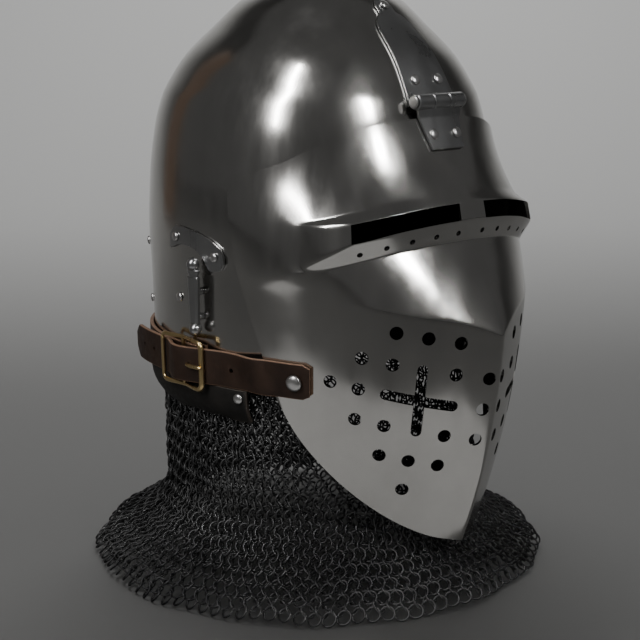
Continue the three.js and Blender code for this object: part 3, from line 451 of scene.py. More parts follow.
def placed(made, points):
    """Points carried from a frame to the helmet."""
    return points @ made[:3, :3].T + made[:3, 3]


# Meshes: each is (points, faces), and several are joined into one piece

def shell(points, inner, outer, wrap=False, pole=False, round_rim=0.3):
    """A closed wall over a grid of points, between two distances along the normals. Its rims
    bulge a little, as filed sheet does. pole says that the last row is one point."""
    nu, nv = points.shape[:2]
    normal = normals_of(points, wrap)
    grid = np.arange(nu * nv).reshape(nu, nv)
    ahead = np.roll(grid, -1, 0) if wrap else grid[1:]
    here = grid if wrap else grid[:-1]
    quads = np.stack([here[:, :-1], here[:, 1:], ahead[:, 1:], ahead[:, :-1]], -1).reshape(-1, 4)
    outside = (points + normal * outer).reshape(-1, 3)
    inside = (points + normal * inner).reshape(-1, 3)
    faces = [quads, (quads + nu * nv)[:, ::-1]]
    verts = [outside, inside]
    count = 2 * nu * nv
    along_v = np.gradient(points, axis=1)
    along_u = np.roll(points, -1, 0) - np.roll(points, 1, 0) if wrap else np.gradient(points, axis=0)
    if wrap:
        loops = [(grid[:, 0], -along_v[:, 0])]
        if not pole:
            loops.append((grid[::-1, -1], along_v[::-1, -1]))
    else:
        edge = np.concatenate([grid[:, 0], grid[-1, 1:], grid[-2::-1, -1], grid[0, -2:0:-1]])
        away = np.concatenate([-along_v[:, 0], along_u[-1, 1:], along_v[-2::-1, -1], -along_u[0, -2:0:-1]])
        loops = [(edge, away)]
    for edge, away in loops:
        away = away / np.maximum(np.linalg.norm(away, axis=1, keepdims=True), 1e-9)
        middle = (outside[edge] + inside[edge]) / 2 + away * (outer - inner) * round_rim * 0.5
        verts.append(middle)
        mid = count + np.arange(len(edge))
        nxt = np.roll(np.arange(len(edge)), -1)
        faces.append(np.stack([edge, edge[nxt], mid[nxt], mid], -1))
        faces.append(np.stack([mid, mid[nxt], edge[nxt] + nu * nv, edge + nu * nv], -1))
        count += len(edge)
    return np.concatenate(verts), np.concatenate(faces)


def lathe(profile, made, sides):
    """A turned solid: a profile of (radius, height) pairs whose two ends lie on the Z axis."""
    profile = np.array(profile, float)
    turn = np.linspace(0, 2 * math.pi, sides, endpoint=False)
    ring = profile[1:-1]
    points = np.stack([
        np.outer(np.cos(turn), ring[:, 0]), np.outer(np.sin(turn), ring[:, 0]),
        np.broadcast_to(ring[:, 1], (sides, len(ring))),
    ], -1).reshape(-1, 3)
    ends = np.array([[0, 0, profile[0, 1]], [0, 0, profile[-1, 1]]])
    grid = np.arange(sides * len(ring)).reshape(sides, len(ring))
    ahead = np.roll(grid, -1, 0)
    faces = np.stack([grid[:, :-1], ahead[:, :-1], ahead[:, 1:], grid[:, 1:]], -1)
    faces = faces.reshape(-1, 4).tolist()
    foot = len(points)
    faces += [[foot, b, a] for a, b in zip(grid[:, 0], ahead[:, 0])]
    faces += [[foot + 1, a, b] for a, b in zip(grid[:, -1], ahead[:, -1])]
    return placed(made, np.concatenate([points, ends])), faces


def dome(made, radius, rise=0.55):
    """A hammered rivet head: a short rim under a quarter-turn dome, a little flat on top."""
    turn = np.radians(np.linspace(0, 90, 9))
    rim = radius * 0.12
    arc = [(radius * math.cos(t) ** 0.9, rim + (radius * rise - rim) * math.sin(t)) for t in turn[:-1]]
    return lathe([(0, 0), (radius, 0)] + arc + [(0, radius * rise)], made, 24)


def sleeve(count, sides, closed=False):
    """The faces of a sleeve of so many rings with so many points each, whose two end rings
    are closed by a face each or, where closed is given, joined to each other."""
    grid = np.arange(count * sides).reshape(count, sides)
    here, there = (grid, np.roll(grid, -1, 0)) if closed else (grid[:-1], grid[1:])
    faces = np.stack([here, np.roll(here, -1, 1), np.roll(there, -1, 1), there], -1)
    faces = faces.reshape(-1, 4).tolist()
    if not closed:
        faces += [grid[0, ::-1].tolist(), grid[-1].tolist()]
    return faces


def tube(path, radius, up, closed=False, flat=1.0, sides=12):
    """A round wire along a path. radius is one number or one for each point, up is the outward
    direction at each point, and flat squeezes the wire in that direction."""
    path = np.asarray(path, float)
    ahead = np.roll(path, -1, 0) - np.roll(path, 1, 0) if closed else np.gradient(path, axis=0)
    ahead /= np.linalg.norm(ahead, axis=1, keepdims=True)
    side = np.cross(ahead, up)
    side /= np.linalg.norm(side, axis=1, keepdims=True)
    out = np.cross(side, ahead)
    radius = np.broadcast_to(radius, (len(path),))[:, None, None]
    turn = np.linspace(0, 2 * math.pi, sides, endpoint=False)[None, :, None]
    section = side[:, None] * np.cos(turn) + out[:, None] * np.sin(turn) * flat
    points = path[:, None] + radius * section
    return points.reshape(-1, 3), sleeve(len(path), sides, closed)


def prism(outline, made, low, high):
    """A straight solid over a flat outline in a frame's XY plane."""
    outline = np.array(outline, float)
    n = len(outline)
    points = np.concatenate([
        np.column_stack([outline, np.full(n, low)]), np.column_stack([outline, np.full(n, high)]),
    ])
    faces = [list(range(n))[::-1], list(range(n, 2 * n))]
    faces += [[i, (i + 1) % n, n + (i + 1) % n, n + i] for i in range(n)]
    return placed(made, points), faces


def circle(radius, sides):
    """Points round a circle."""
    turn = np.linspace(0, 2 * math.pi, sides, endpoint=False)
    return np.stack([radius * np.cos(turn), radius * np.sin(turn)], -1)


def joined(meshes):
    """Several (points, faces) as one."""
    points, faces, count = [], [], 0
    for verts, polygons in meshes:
        points.append(verts)
        faces += [[int(i) + count for i in polygon] for polygon in polygons]
        count += len(verts)
    return np.concatenate(points), faces


def to_metres(points):
    """Millimetres above the mail's lowest edge as metres from the head seat."""
    return (np.asarray(points) - [0, 0, SEAT]) * 0.001


def add_object(name, data):
    """A new object of the scene with its data."""
    obj = bpy.data.objects.new(name, data)
    bpy.context.scene.collection.objects.link(obj)
    return obj


def make(name, mesh, crease=CREASE, weld=False, panels=0):
    """A Blender object from (points, faces) in millimetres, smooth but for edges that turn more
    than crease degrees. Of a wall with so many panels on its outside, the panels of its inside
    come next and get the second material."""
    points, faces = mesh
    data = bpy.data.meshes.new(name)
    data.from_pydata(to_metres(points).tolist(), [], [list(map(int, face)) for face in faces])
    if panels:
        number = np.arange(len(faces))
        inside = (number >= panels) & (number < 2 * panels)
        data.polygons.foreach_set("material_index", inside.astype(np.int32))
    obj = add_object(name, data)
    bm = bmesh.new()
    bm.from_mesh(data)
    if weld:
        bmesh.ops.remove_doubles(bm, verts=bm.verts, dist=1e-6)
    bmesh.ops.recalc_face_normals(bm, faces=bm.faces)
    bm.to_mesh(data)
    bm.free()
    shade(obj, crease)
    return obj


def shade(obj, crease):
    """Smooth faces, with the edges that turn more than crease degrees kept sharp."""
    bm = bmesh.new()
    bm.from_mesh(obj.data)
    limit = math.radians(crease)
    for face in bm.faces:
        face.smooth = True
    for edge in bm.edges:
        edge.smooth = edge.calc_face_angle(0.0) < limit
    bm.to_mesh(obj.data)
    bm.free()


def cut(obj, cutters, crease=CREASE):
    """Takes the cutters out of the object."""
    tool = make(obj.name + "_cutter", joined(cutters))
    boolean = obj.modifiers.new("cut", "BOOLEAN")
    boolean.operation = "DIFFERENCE"
    boolean.solver = "EXACT"
    boolean.object = tool
    graph = bpy.context.evaluated_depsgraph_get()
    graph.update()
    done = bpy.data.meshes.new_from_object(obj.evaluated_get(graph))
    obj.modifiers.clear()
    old, obj.data = obj.data, done
    bpy.data.meshes.remove(old)
    bpy.data.objects.remove(tool)
    shade(obj, crease)


def dress(obj, material, slot, *nodes):
    """Gives a piece its material, if it has none yet, ties it to the helmet and lets it stand
    for its solids."""
    if material:
        obj.data.materials.append(material)
    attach(obj, "root")
    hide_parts(*nodes)


# Materials

def new_material(name):
    """A material that uses nodes, and its shader."""
    material = bpy.data.materials.new(name)
    material.use_nodes = True
    return material, material.node_tree.nodes["Principled BSDF"]


def node(material, kind, **values):
    """A shader node with its plain sockets and settings."""
    made = material.node_tree.nodes.new(kind)
    for key, value in values.items():
        if key in made.inputs:
            made.inputs[key].default_value = value
        else:
            setattr(made, key, value)
    return made


def coordinates(material, scale):
    """The object's own coordinates in metres, stretched by a scale on each axis."""
    links = material.node_tree.links
    where = node(material, "ShaderNodeTexCoord")
    mapping = node(material, "ShaderNodeMapping")
    mapping.inputs["Scale"].default_value = scale
    links.new(where.outputs["Object"], mapping.inputs["Vector"])
    return mapping.outputs["Vector"]


def noise(material, scale, detail=4.0, rough=0.55, stretch=(1, 1, 1)):
    """Noise on the object's coordinates. scale is in waves a metre."""
    made = node(material, "ShaderNodeTexNoise", Scale=scale, Detail=detail, Roughness=rough)
    material.node_tree.links.new(coordinates(material, stretch), made.inputs["Vector"])
    return made.outputs["Fac"]


def ramp(material, source, low, high, start=0.3, end=0.7):
    """Part of a source's range, stretched between two values and held at them beyond it."""
    made = node(material, "ShaderNodeMapRange", clamp=True)
    made.inputs["From Min"].default_value = start
    made.inputs["From Max"].default_value = end
    made.inputs["To Min"].default_value = low
    made.inputs["To Max"].default_value = high
    material.node_tree.links.new(source, made.inputs["Value"])
    return made.outputs["Result"]


def blend_colour(material, source, low, high):
    """A mix of two colours by a source from 0 to 1."""
    made = material.node_tree.nodes.new("ShaderNodeMix")
    made.data_type = "RGBA"
    links = material.node_tree.links
    links.new(source, made.inputs[0])
    for socket, value in ((made.inputs[6], low), (made.inputs[7], high)):
        if isinstance(value, tuple):
            socket.default_value = (*value, 1)
        else:
            links.new(value, socket)
    return made.outputs[2]


def bump(material, shader, *layers):
    """Bump layers, each (height source, distance in metres, strength)."""
    previous = None
    for source, distance, strength in layers:
        made = node(material, "ShaderNodeBump", Distance=distance, Strength=strength)
        material.node_tree.links.new(source, made.inputs["Height"])
        if previous:
            material.node_tree.links.new(previous, made.inputs["Normal"])
        previous = made.outputs["Normal"]
    material.node_tree.links.new(previous, shader.inputs["Normal"])


def steel_material(name, low, high, rough_low, rough_high, grain, dents):
    """Hand-finished steel: a brushed grain, soft hammer unevenness and faint darker clouds."""
    material, shader = new_material(name)
    links = material.node_tree.links
    shader.inputs["Metallic"].default_value = 1.0
    clouds = ramp(material, noise(material, 14, 5, 0.6), 0.0, 1.0)
    links.new(blend_colour(material, clouds, low, high), shader.inputs["Base Color"])
    streaks = noise(material, 60, 4, 0.6, (1, 1, 0.12))
    links.new(ramp(material, streaks, rough_low, rough_high), shader.inputs["Roughness"])
    grain_source = noise(material, 900, 3, 0.5, (1, 1, 0.05))
    hammer = noise(material, 22, 2, 0.4)
    bump(material, shader, (hammer, 0.0012, dents), (grain_source, 0.00003, grain))
    return material


def leather_material(name, low, high, edge, rough):
    """Waxed leather: fine grain, broad wear, and raw edges from the mesh's own attribute."""
    material, shader = new_material(name)
    links = material.node_tree.links
    shader.inputs["Specular IOR Level"].default_value = 0.25
    wear = ramp(material, noise(material, 60, 6, 0.6), 0.0, 1.0, 0.35, 0.65)
    colour = blend_colour(material, wear, low, high)
    attribute = node(material, "ShaderNodeAttribute", attribute_name="edge")
    colour = blend_colour(material, attribute.outputs["Fac"], colour, edge)
    links.new(colour, shader.inputs["Base Color"])
    polish = ramp(material, noise(material, 220, 4, 0.6), rough - 0.08, rough + 0.1)
    links.new(polish, shader.inputs["Roughness"])
    creases = noise(material, 120, 4, 0.5)
    pores = noise(material, 1500, 3, 0.6)
    bump(material, shader, (creases, 0.0007, 0.4), (pores, 0.0002, 0.5))
    return material


steel = steel_material("satin_steel", (0.46, 0.45, 0.43), (0.56, 0.548, 0.525), 0.12, 0.21, 0.14, 0.35)
# Near-black copy of the steel for the inside faces of the skull and visor: painted shade of the helmet's
# inside, with a rougher finish
painted_shade_inside_steel = steel_material("painted_shade_inside_steel", (0.03, 0.028, 0.026), (0.07, 0.065, 0.06), 0.55, 0.7, 0.2, 0.4)
fitting_steel = steel_material(
    "fitting_steel", (0.33, 0.33, 0.33), (0.45, 0.45, 0.45), 0.24, 0.36, 0.3, 0.25)
rivet_steel = steel_material("rivet_steel", (0.5, 0.49, 0.48), (0.62, 0.61, 0.6), 0.25, 0.36, 0.2, 0.4)
ring_steel = steel_material("mail_steel", (0.03, 0.03, 0.031), (0.085, 0.085, 0.085), 0.44, 0.64, 0.1, 0.1)
brass = steel_material("buckle_brass", (0.52, 0.38, 0.17), (0.66, 0.5, 0.26), 0.24, 0.36, 0.25, 0.35)
strap_leather = leather_material(
    "strap_leather", (0.014, 0.0072, 0.0045), (0.027, 0.014, 0.0085), (0.17, 0.1, 0.064), 0.58)
band_leather = leather_material(
    "band_leather", (0.005, 0.0045, 0.0038), (0.012, 0.0102, 0.0085), (0.04, 0.032, 0.026), 0.66)


# Skull

def build_skull():
    """Turned sections from the rim to the apex, closer together at the crown, with the face
    opening taken out through the front from side to side."""
    share = np.linspace(0, 1, 96)
    heights = SKULL_APEX - SKULL_HEIGHT * (1 - share) ** 1.6
    angles = np.linspace(0, 2 * math.pi, 216, endpoint=False)
    points = skull_point(angles[:, None], heights[None, :])
    panels = len(angles) * (len(heights) - 1)
    wall = shell(points, -SHEET, 0, wrap=True, pole=True)
    obj = make("skull_shell", wall, weld=True, panels=panels)
    obj.data.materials.append(steel)
    # The inside faces get the near-black steel: painted shade
    obj.data.materials.append(painted_shade_inside_steel)
    turn = np.linspace(0, math.pi / 2, 13)
    corner = [(-FACE_SIDE - FACE_CORNER + FACE_CORNER * math.cos(t),
               FACE_BROW - FACE_CORNER + FACE_CORNER * math.sin(t)) for t in turn]
    front = -2 * SKULL_FRONT
    bevel = [(-forward, SKULL_RIM + rise) for forward, rise in FACE_BEVEL]
    outline = [(front, SKULL_RIM / 2), (bevel[0][0], SKULL_RIM / 2)]
    outline += bevel[1:] + corner + [(front, FACE_BROW)]
    cut(obj, [prism(outline, across_frame(), -FACE_CUT, FACE_CUT)])
    dress(obj, None, "polished_steel", "skull")


# Visor

BREATH_ROWS = [(-2, (-1, 0, 1)), (-1, (-2, -1, 1, 2)), (0, (-3, -2, 2)),
               (1, (-2, -1, 1, 2)), (2, (-1, 0, 1)), (3, (0,))]


def cheek_angle(arc):
    """The angle that an arc along the cheek takes from the centre line."""
    return arc / (SKULL_FRONT + SNOUT_REACH * 0.55)


def cross_outline(side):
    """A cross of two slots with round ends that lean with the rows of breaths."""
    bar = -side * math.atan2(BREATH_ROW_FALL, BREATH_STEP_FORWARD)
    upright = math.pi / 2 - side * math.atan2(BREATH_ROW_SHIFT, BREATH_STEP_DOWN)
    half = CROSS_WIDTH / 2
    arms = [(bar, CROSS_BAR / 2), (upright, CROSS_UPRIGHT / 2),
            (bar + math.pi, CROSS_BAR / 2), (upright + math.pi, CROSS_UPRIGHT / 2)]
    points = []
    for i, (turn, reach) in enumerate(arms):
        along = np.array([math.cos(turn), math.sin(turn)])
        for step in np.linspace(-math.pi / 2, math.pi / 2, 13):
            spin = np.array([math.cos(turn + step), math.sin(turn + step)])
            points.append(along * (reach - half) + spin * half)
        after = arms[(i + 1) % 4][0]
        left = np.array([-math.sin(turn), math.cos(turn)])
        right = np.array([math.sin(after), -math.cos(after)])
        points.append(np.linalg.solve(np.array([left, right]), [half, half]))
    return points


def slit_cutter(side):
    """The eye slit between the ledge's two lips, from the bar at the nose to its outer end."""
    bar = math.degrees(SLIT_BAR / 2 / (SKULL_FRONT + LEDGE_REACH))
    angles = side * np.linspace(bar, SLIT_HALF_ANGLE, 40)
    share = np.array([0.02, 0.35, 0.65, 0.98])
    end = mix(LINE_ENDS[SLIT_LOWER_LINE], LINE_ENDS[SLIT_UPPER_LINE], share)
    points = visor_point(angles[:, None] / (VISOR_HALF_ANGLE * end[None]), SLIT_LOWER_LINE + share[None])
    return shell(points, -SLIT_CUT, SLIT_CUT, round_rim=0)


def visor_cutters():
    """The slits, breaths, crosses and small holes under the slits, on both sides."""
    cutters = []
    for side in (1, -1):
        cutters.append(slit_cutter(side))
        for row, columns in BREATH_ROWS:
            for column in columns:
                arc = CROSS_ARC - column * BREATH_STEP_FORWARD + row * BREATH_ROW_SHIFT
                height = CROSS_HEIGHT - column * BREATH_ROW_FALL - row * BREATH_STEP_DOWN
                made = surface_frame(visor_surface, side * cheek_angle(arc), height)
                cutters.append(prism(circle(BREATH_HOLE / 2, 28), made, -BREATH_CUT, BREATH_CUT))
        made = surface_frame(visor_surface, side * cheek_angle(CROSS_ARC), CROSS_HEIGHT)
        cutters.append(prism(cross_outline(side), made, -CROSS_CUT, CROSS_CUT))
        line = VISOR_LINES[SLIT_LOWER_LINE]
        for i in range(BROW_HOLES):
            angle = (SLIT_BAR / 2 + i * BROW_HOLE_PITCH) / (SKULL_FRONT + LEDGE_REACH)
            at = math.degrees(angle) / (VISOR_HALF_ANGLE * line["end"])
            height = line_height(line, at) - BROW_HOLE_DROP
            made = surface_frame(visor_surface, side * angle, height)
            cutters.append(prism(circle(BROW_HOLE / 2, 18), made, -BROW_CUT, BROW_CUT))
    return cutters


def build_visor():
    """The sheet through the visor's rounded lines, finer at the eye ledge, then cut."""
    at = np.linspace(-1, 1, 221)
    places = np.concatenate([
        np.linspace(0, 120, 56), np.linspace(122, 140, 12), np.linspace(142, 178, 18),
        np.linspace(179, 210, 46), np.linspace(212, 248, 18),
    ])
    points = visor_rounded(at[:, None], places[None, :])
    panels = (len(at) - 1) * (len(places) - 1)
    obj = make("visor_shell", shell(points, -SHEET, 0), panels=panels)
    obj.data.materials.append(steel)
    # The inside faces get the near-black steel: painted shade
    obj.data.materials.append(painted_shade_inside_steel)
    cut(obj, visor_cutters())
    dress(obj, None, "polished_steel", "visor")


# Hinge

HINGE_Y = float(brow_point(0, HINGE_HEIGHT)[1]) - GAP - LEAF_THICKNESS - BARREL_RADIUS + BARREL_SINK
KNUCKLE = HINGE_WIDTH / 3
leaf_half = curve([0, 0.35, 0.62, 0.74, 0.81, 0.86, 0.92, 0.97, 1],
                  [1, 0.9, 0.79, 0.71, 0.54, 0.31, 0.3, 0.2, 0.03])


def barrel(start, end, radius=BARREL_RADIUS):
    """One rolled knuckle, or the pin's head, on the hinge's axis, with eased ends."""
    flat = radius - BARREL_EASE
    profile = [(0, start), (flat, start), (radius, start + BARREL_EASE),
               (radius, end - BARREL_EASE), (flat, end), (0, end)]
    return lathe(profile, across_frame((0, HINGE_Y, HINGE_HEIGHT)), 32)


def build_hinge():
    """Two leaves that follow the skull and the visor, rolled into three knuckles on a pin."""
    end = HINGE_WIDTH / 2
    foot = HINGE_HEIGHT - BARREL_RADIUS * 0.6
    up = np.concatenate([np.linspace(0, 0.7, 24), np.linspace(0.72, 1, 36)])
    across = np.linspace(-1, 1, 25)
    half = leaf_half(up) * HINGE_WIDTH / 2
    points = brow_point(-across[:, None] * half[None], (foot + (LEAF_TOP - foot) * up)[None])
    upper = joined([shell(points, GAP, GAP + LEAF_THICKNESS),
                    barrel(-end, -KNUCKLE / 2 - GAP), barrel(KNUCKLE / 2 + GAP, end)])
    dress(make("hinge_upper", upper), fitting_steel, "polished_steel", "hinge_upper_leaf")
    top = HINGE_HEIGHT - BARREL_RADIUS * 0.4
    height = np.linspace(top - LOWER_LEAF_LENGTH, top, 24)
    half = HINGE_WIDTH / 2 * mix(0.62, 0.93, np.linspace(0, 1, 24))
    on_visor = np.minimum(height, VISOR_TOP - GAP)
    angle = across[:, None] * half[None] / (SKULL_FRONT * skull_girth(on_visor))[None]
    points = visor_surface(angle, np.broadcast_to(on_visor, angle.shape))
    points[..., 2] += np.maximum(0, height - on_visor)[None]
    lower = joined([shell(points, GAP, GAP + LEAF_THICKNESS), barrel(-KNUCKLE / 2, KNUCKLE / 2)])
    dress(make("hinge_lower", lower), fitting_steel, "polished_steel", "hinge_lower_leaf")
    pin = joined([barrel(-end - PIN_HEAD, -end - GAP, BARREL_RADIUS * 0.8),
                  barrel(end + GAP, end + PIN_HEAD, BARREL_RADIUS * 0.8),
                  barrel(-end - 1, end + 1, PIN_RADIUS)])
    dress(make("hinge_pin_turned", pin), rivet_steel, "dark_steel", "hinge_pin")


# Side fittings and rivets

def build_side_fittings():
    """On each side an arched plate that follows the skull, and a tapered bar on two feet."""
    arch_top = curve([0, 0.06, 0.25, 0.6, 0.85, 1], [0.38, 0.58, 0.8, 0.95, 1, 0.78])
    arch_low = curve([0, 0.06, 0.22, 0.34, 0.5, 0.75, 1], [0.22, 0.05, 0.0, 0.3, 0.5, 0.55, 0.4])
    back, front = SIDE_RIVET_BACK_ANGLE + 4, SIDE_RIVET_FRONT_ANGLE - 4
    low, high = SIDE_RIVET_FRONT - 9, SIDE_RIVET_TOP + 7
    at = np.linspace(0, 1, 40)
    share = mix(arch_low(at)[:, None], arch_top(at)[:, None], np.linspace(0, 1, 12)[None])
    half = SIDE_BAR_LENGTH / 2
    middle = STRAP_HEIGHT + STRAP_WIDTH / 2 + SIDE_BAR_RISE + half
    stations = np.array([-half, -half + 0.6, half - 5, half - 4.6,
                         half - 2.6, half - 2.2, half - 0.6, half])
    widths = mix(SIDE_BAR_TIP, SIDE_BAR_WIDTH, (stations + half) / (2 * half))
    widths[[0, 3, 4, 7]] -= [1.2, 1.6, 1.6, 1.2]
    thick = np.full(len(stations), SIDE_BAR_THICKNESS) + [-1, 0, 0, -1, -1, 0, 0, -1]
    sides = len(SIDE_BAR_SECTION)
    ring = np.stack([np.outer(widths / 2, SIDE_BAR_SECTION[:, 0]),
                     np.repeat(stations[:, None], sides, 1),
                     np.outer(thick / 2, SIDE_BAR_SECTION[:, 1])], -1)
    turn = np.radians(np.linspace(-90, 90, 15))
    ball = [(SIDE_BALL_RADIUS * math.cos(t), SIDE_BALL_RADIUS * math.sin(t)) for t in turn]
    low_end = GAP - SIDE_BAR_STANDOFF
    foot = [(0, low_end), (SIDE_FOOT_RADIUS, low_end), (SIDE_FOOT_RADIUS, 0), (0, 0)]
    far = half + SIDE_BALL_RADIUS * 0.8
    for name, side in (("right", 1), ("left", -1)):
        angle = side * np.radians(front + (back - front) * at)[:, None]
        points = skull_point(angle, low + (high - low) * share)
        dress(make("side_arch_" + name, shell(points, GAP, GAP + SIDE_PLATE_THICKNESS)),
              fitting_steel, "polished_steel", "side_plate_" + name)
        turned = side * math.radians(SIDE_BAR_ANGLE)
        made = surface_frame(skull_point, turned, middle, SIDE_BAR_STANDOFF)
        parts = [(placed(made, ring.reshape(-1, 3)), sleeve(len(stations), sides))]
        parts += [lathe(ball, shifted(made, y), 24) for y in (far, -far)]
        parts += [lathe(foot, shifted(made, y), 16) for y in (-half * 0.76, half * 0.152)]
        handle = make("side_handle_" + name, joined(parts), 30)
        dress(handle, fitting_steel, "polished_steel", "side_bar_" + name)


def build_rivets():
    """All the domed rivet heads of the helmet, each square to the piece that it holds."""
    heads, nodes = [], []

    def add(name, surface, angle, height, lift, radius=RIVET_RADIUS):
        made = surface_frame(surface, angle, height, lift)
        heads.append(dome(made, radius))
        nodes.append(name)

    over_leaf = 2 * GAP + LEAF_THICKNESS
    over_plate = 2 * GAP + SIDE_PLATE_THICKNESS
    small = RIVET_RADIUS * 0.9
    reach = HINGE_RIVET_REACH
    upper = HINGE_HEIGHT + HINGE_RIVET_RISE
    lower = HINGE_HEIGHT - HINGE_RIVET_FALL
    turn_up = math.asin(reach / abs(float(brow_point(reach, upper)[1])))
    add("hinge_rivet_apex", skull_point, 0.0, LEAF_TOP - HINGE_TIP_MARGIN, over_leaf)
    for name, side in (("right", 1), ("left", -1)):
        add("hinge_rivet_upper_" + name, skull_point, side * turn_up, upper, over_leaf)
        add("hinge_rivet_lower_" + name, visor_surface, side * reach / SKULL_FRONT, lower, over_leaf)
        spots = [("plate_back", SIDE_RIVET_BACK_ANGLE, SIDE_RIVET_TOP, over_plate),
                 ("plate_front", SIDE_RIVET_FRONT_ANGLE, SIDE_RIVET_FRONT, over_plate),
                 ("low", SIDE_RIVET_BACK_ANGLE + 1, SIDE_RIVET_LOW, GAP),
                 ("rear_top", REAR_RIVET_ANGLE, SIDE_RIVET_TOP - REAR_RIVET_DROP, GAP),
                 ("rear_low", REAR_RIVET_ANGLE, SIDE_RIVET_LOW - REAR_RIVET_DROP, GAP)]
        for place, turn, height, lift in spots:
            add(f"skull_rivet_{name}_{place}", skull_point, side * math.radians(turn), height, lift, small)
        add("strap_rivet_" + name, visor_surface, side * math.radians(STRAP_RIVET_ANGLE), STRAP_HEIGHT,
            STRAP_THICKNESS + 3 * GAP, STRAP_RIVET_RADIUS)
        add("band_rivet_" + name, skull_point, side * math.radians(BAND_FRONT_ANGLE + 3),
            BAND_TOP - BAND_HEIGHT * 0.25, 3 * GAP + BAND_THICKNESS)
    dress(make("rivet_heads", joined(heads)), rivet_steel, "polished_steel", *nodes)


# Strap, buckle and band

def strap_seat(angle, height):
    """Radius of what the strap lies on: the visor's cheek in front, then the skull."""
    turn = np.abs(np.arctan2(np.sin(angle), np.cos(angle)))
    turn, height = np.broadcast_arrays(turn, height)
    skull_radius = plan_radius(turn) * skull_girth(height)
    at, level = visor_level(turn, height, 1.0)
    cheek = visor_polar(np.minimum(at, 1), level)[2]
    return mix(np.maximum(cheek, skull_radius), skull_radius, smoothstep(at, 1.02, 1.22))


def corners(turn):
    """The four corners of a rounded rectangle in order, each as its two signs and its turns."""
    for sx, sy, order in ((1, 1, 1), (-1, 1, -1), (-1, -1, 1), (1, -1, -1)):
        yield sx, sy, turn[::order]


def band_section(round_share, round_depth):
    """A rounded rectangle as (share across, share of depth, edge): edge is 1 on its two cut
    sides, for the raw colour there."""
    rows = []
    for sx, sy, turn in corners(np.radians([0, 30, 60, 90])):
        for t in turn:
            share = sx * (1 - round_share + round_share * math.cos(t))
            depth = sy * (1 - round_depth + round_depth * math.sin(t))
            rows.append((share, 0.5 + 0.5 * depth, 1.0 if t < 1.2 else 0.0))
        if sx == sy:
            flat = np.linspace(1, -1, 7)[1:-1] * (1 - round_share)
            rows += [(sx * s, 0.5 + 0.5 * sy, 0.0) for s in flat]
    return np.array(rows)


def ribbon(name, turns, section, centre):
    """A leather strip: the section carried through turns (degrees) by centre(angle, share,
    depth), with both ends closed and the cut sides and ends marked as raw edge."""
    angles = np.radians(turns)
    points = centre(angles[:, None], section[None, :, 0], section[None, :, 1])
    nu, nv = points.shape[:2]
    obj = make(name, (points.reshape(-1, 3), sleeve(nu, nv)), 50)
    edge = np.repeat(section[None, :, 2], nu, 0)
    edge[[0, -1]] = 1
    attribute = obj.data.attributes.new("edge", "FLOAT", "POINT")
    attribute.data.foreach_set("value", edge.reshape(-1).astype(np.float32))
    return obj


OVER_BACK = STRAP_THICKNESS + 2 * GAP
OVER_BAR = STRAP_THICKNESS * 2 + BUCKLE_WIRE + 3 * GAP
front_rise = curve(
    [STRAP_FRONT_ANGLE, BUCKLE_FRONT_ANGLE - 8, BUCKLE_FRONT_ANGLE,
     BUCKLE_MIDDLE_ANGLE, BUCKLE_BACK_ANGLE, STRAP_TAIL_ANGLE],
    [GAP, GAP, OVER_BACK, OVER_BAR, OVER_BACK, STRAP_THICKNESS + STRAP_TAIL_RISE])


def build_straps():
    """The two leathers of the visor strap: the front one with the free tail, threaded through
    the buckle, and the back one round the skull to the other cheek."""
    section = band_section(0.055, 0.45)

    def front(angle, share, depth):
        turn = np.degrees(angle)
        tail = 0.42 + (STRAP_TAIL_ANGLE - turn) / 7
        root = 0.8 + (turn - STRAP_FRONT_ANGLE) / 10
        narrow = np.minimum(1, np.minimum(tail, root))
        height = STRAP_HEIGHT + share * narrow * STRAP_WIDTH / 2
        radius = strap_seat(angle, height) + front_rise(turn) + depth * STRAP_THICKNESS
        return polar(angle, radius, height, skull_centre(height))

    turns = np.concatenate([
        STRAP_FRONT_ANGLE + np.array([0, 0.12, 0.35, 0.8, 1.4, 2]),
        np.linspace(STRAP_FRONT_ANGLE + 3, STRAP_TAIL_ANGLE - 3, 120),
        STRAP_TAIL_ANGLE - np.array([2, 1, 0.4, 0]),
    ])
    strap = ribbon("strap_front_leather", turns, section, front)
    holes = []
    for turn in STRAP_HOLE_ANGLES:
        made = surface_frame(lambda a, h: polar(a, 120.0, h), math.radians(turn), STRAP_HEIGHT)
        made[:3, 3] = front(np.radians([[turn]]), np.array([[0.0]]), np.array([[1.0]]))[0, 0]
        holes.append(prism(circle(STRAP_HOLE_RADIUS, 16), made, -5, 3))
    cut(strap, holes, 50)
    dress(strap, strap_leather, "tan_leather", "strap_front")

    def back(angle, share, depth):
        turn = np.degrees(angle)
        narrow = np.minimum(1, 0.8 + (360 - STRAP_FRONT_ANGLE - turn) / 10)
        height = STRAP_HEIGHT + share * narrow * STRAP_WIDTH / 2
        radius = strap_seat(angle, height) + 2 * GAP + depth * STRAP_THICKNESS
        return polar(angle, radius, height, skull_centre(height))

    end = 360 - STRAP_FRONT_ANGLE
    turns = np.concatenate([
        np.linspace(BUCKLE_MIDDLE_ANGLE - 8, end - 3, 190),
        end - np.array([1.5, 0.8, 0.4, 0.12, 0]),
    ])
    strap = ribbon("strap_back_leather", turns, section, back)
    dress(strap, strap_leather, "tan_leather", "strap_back")


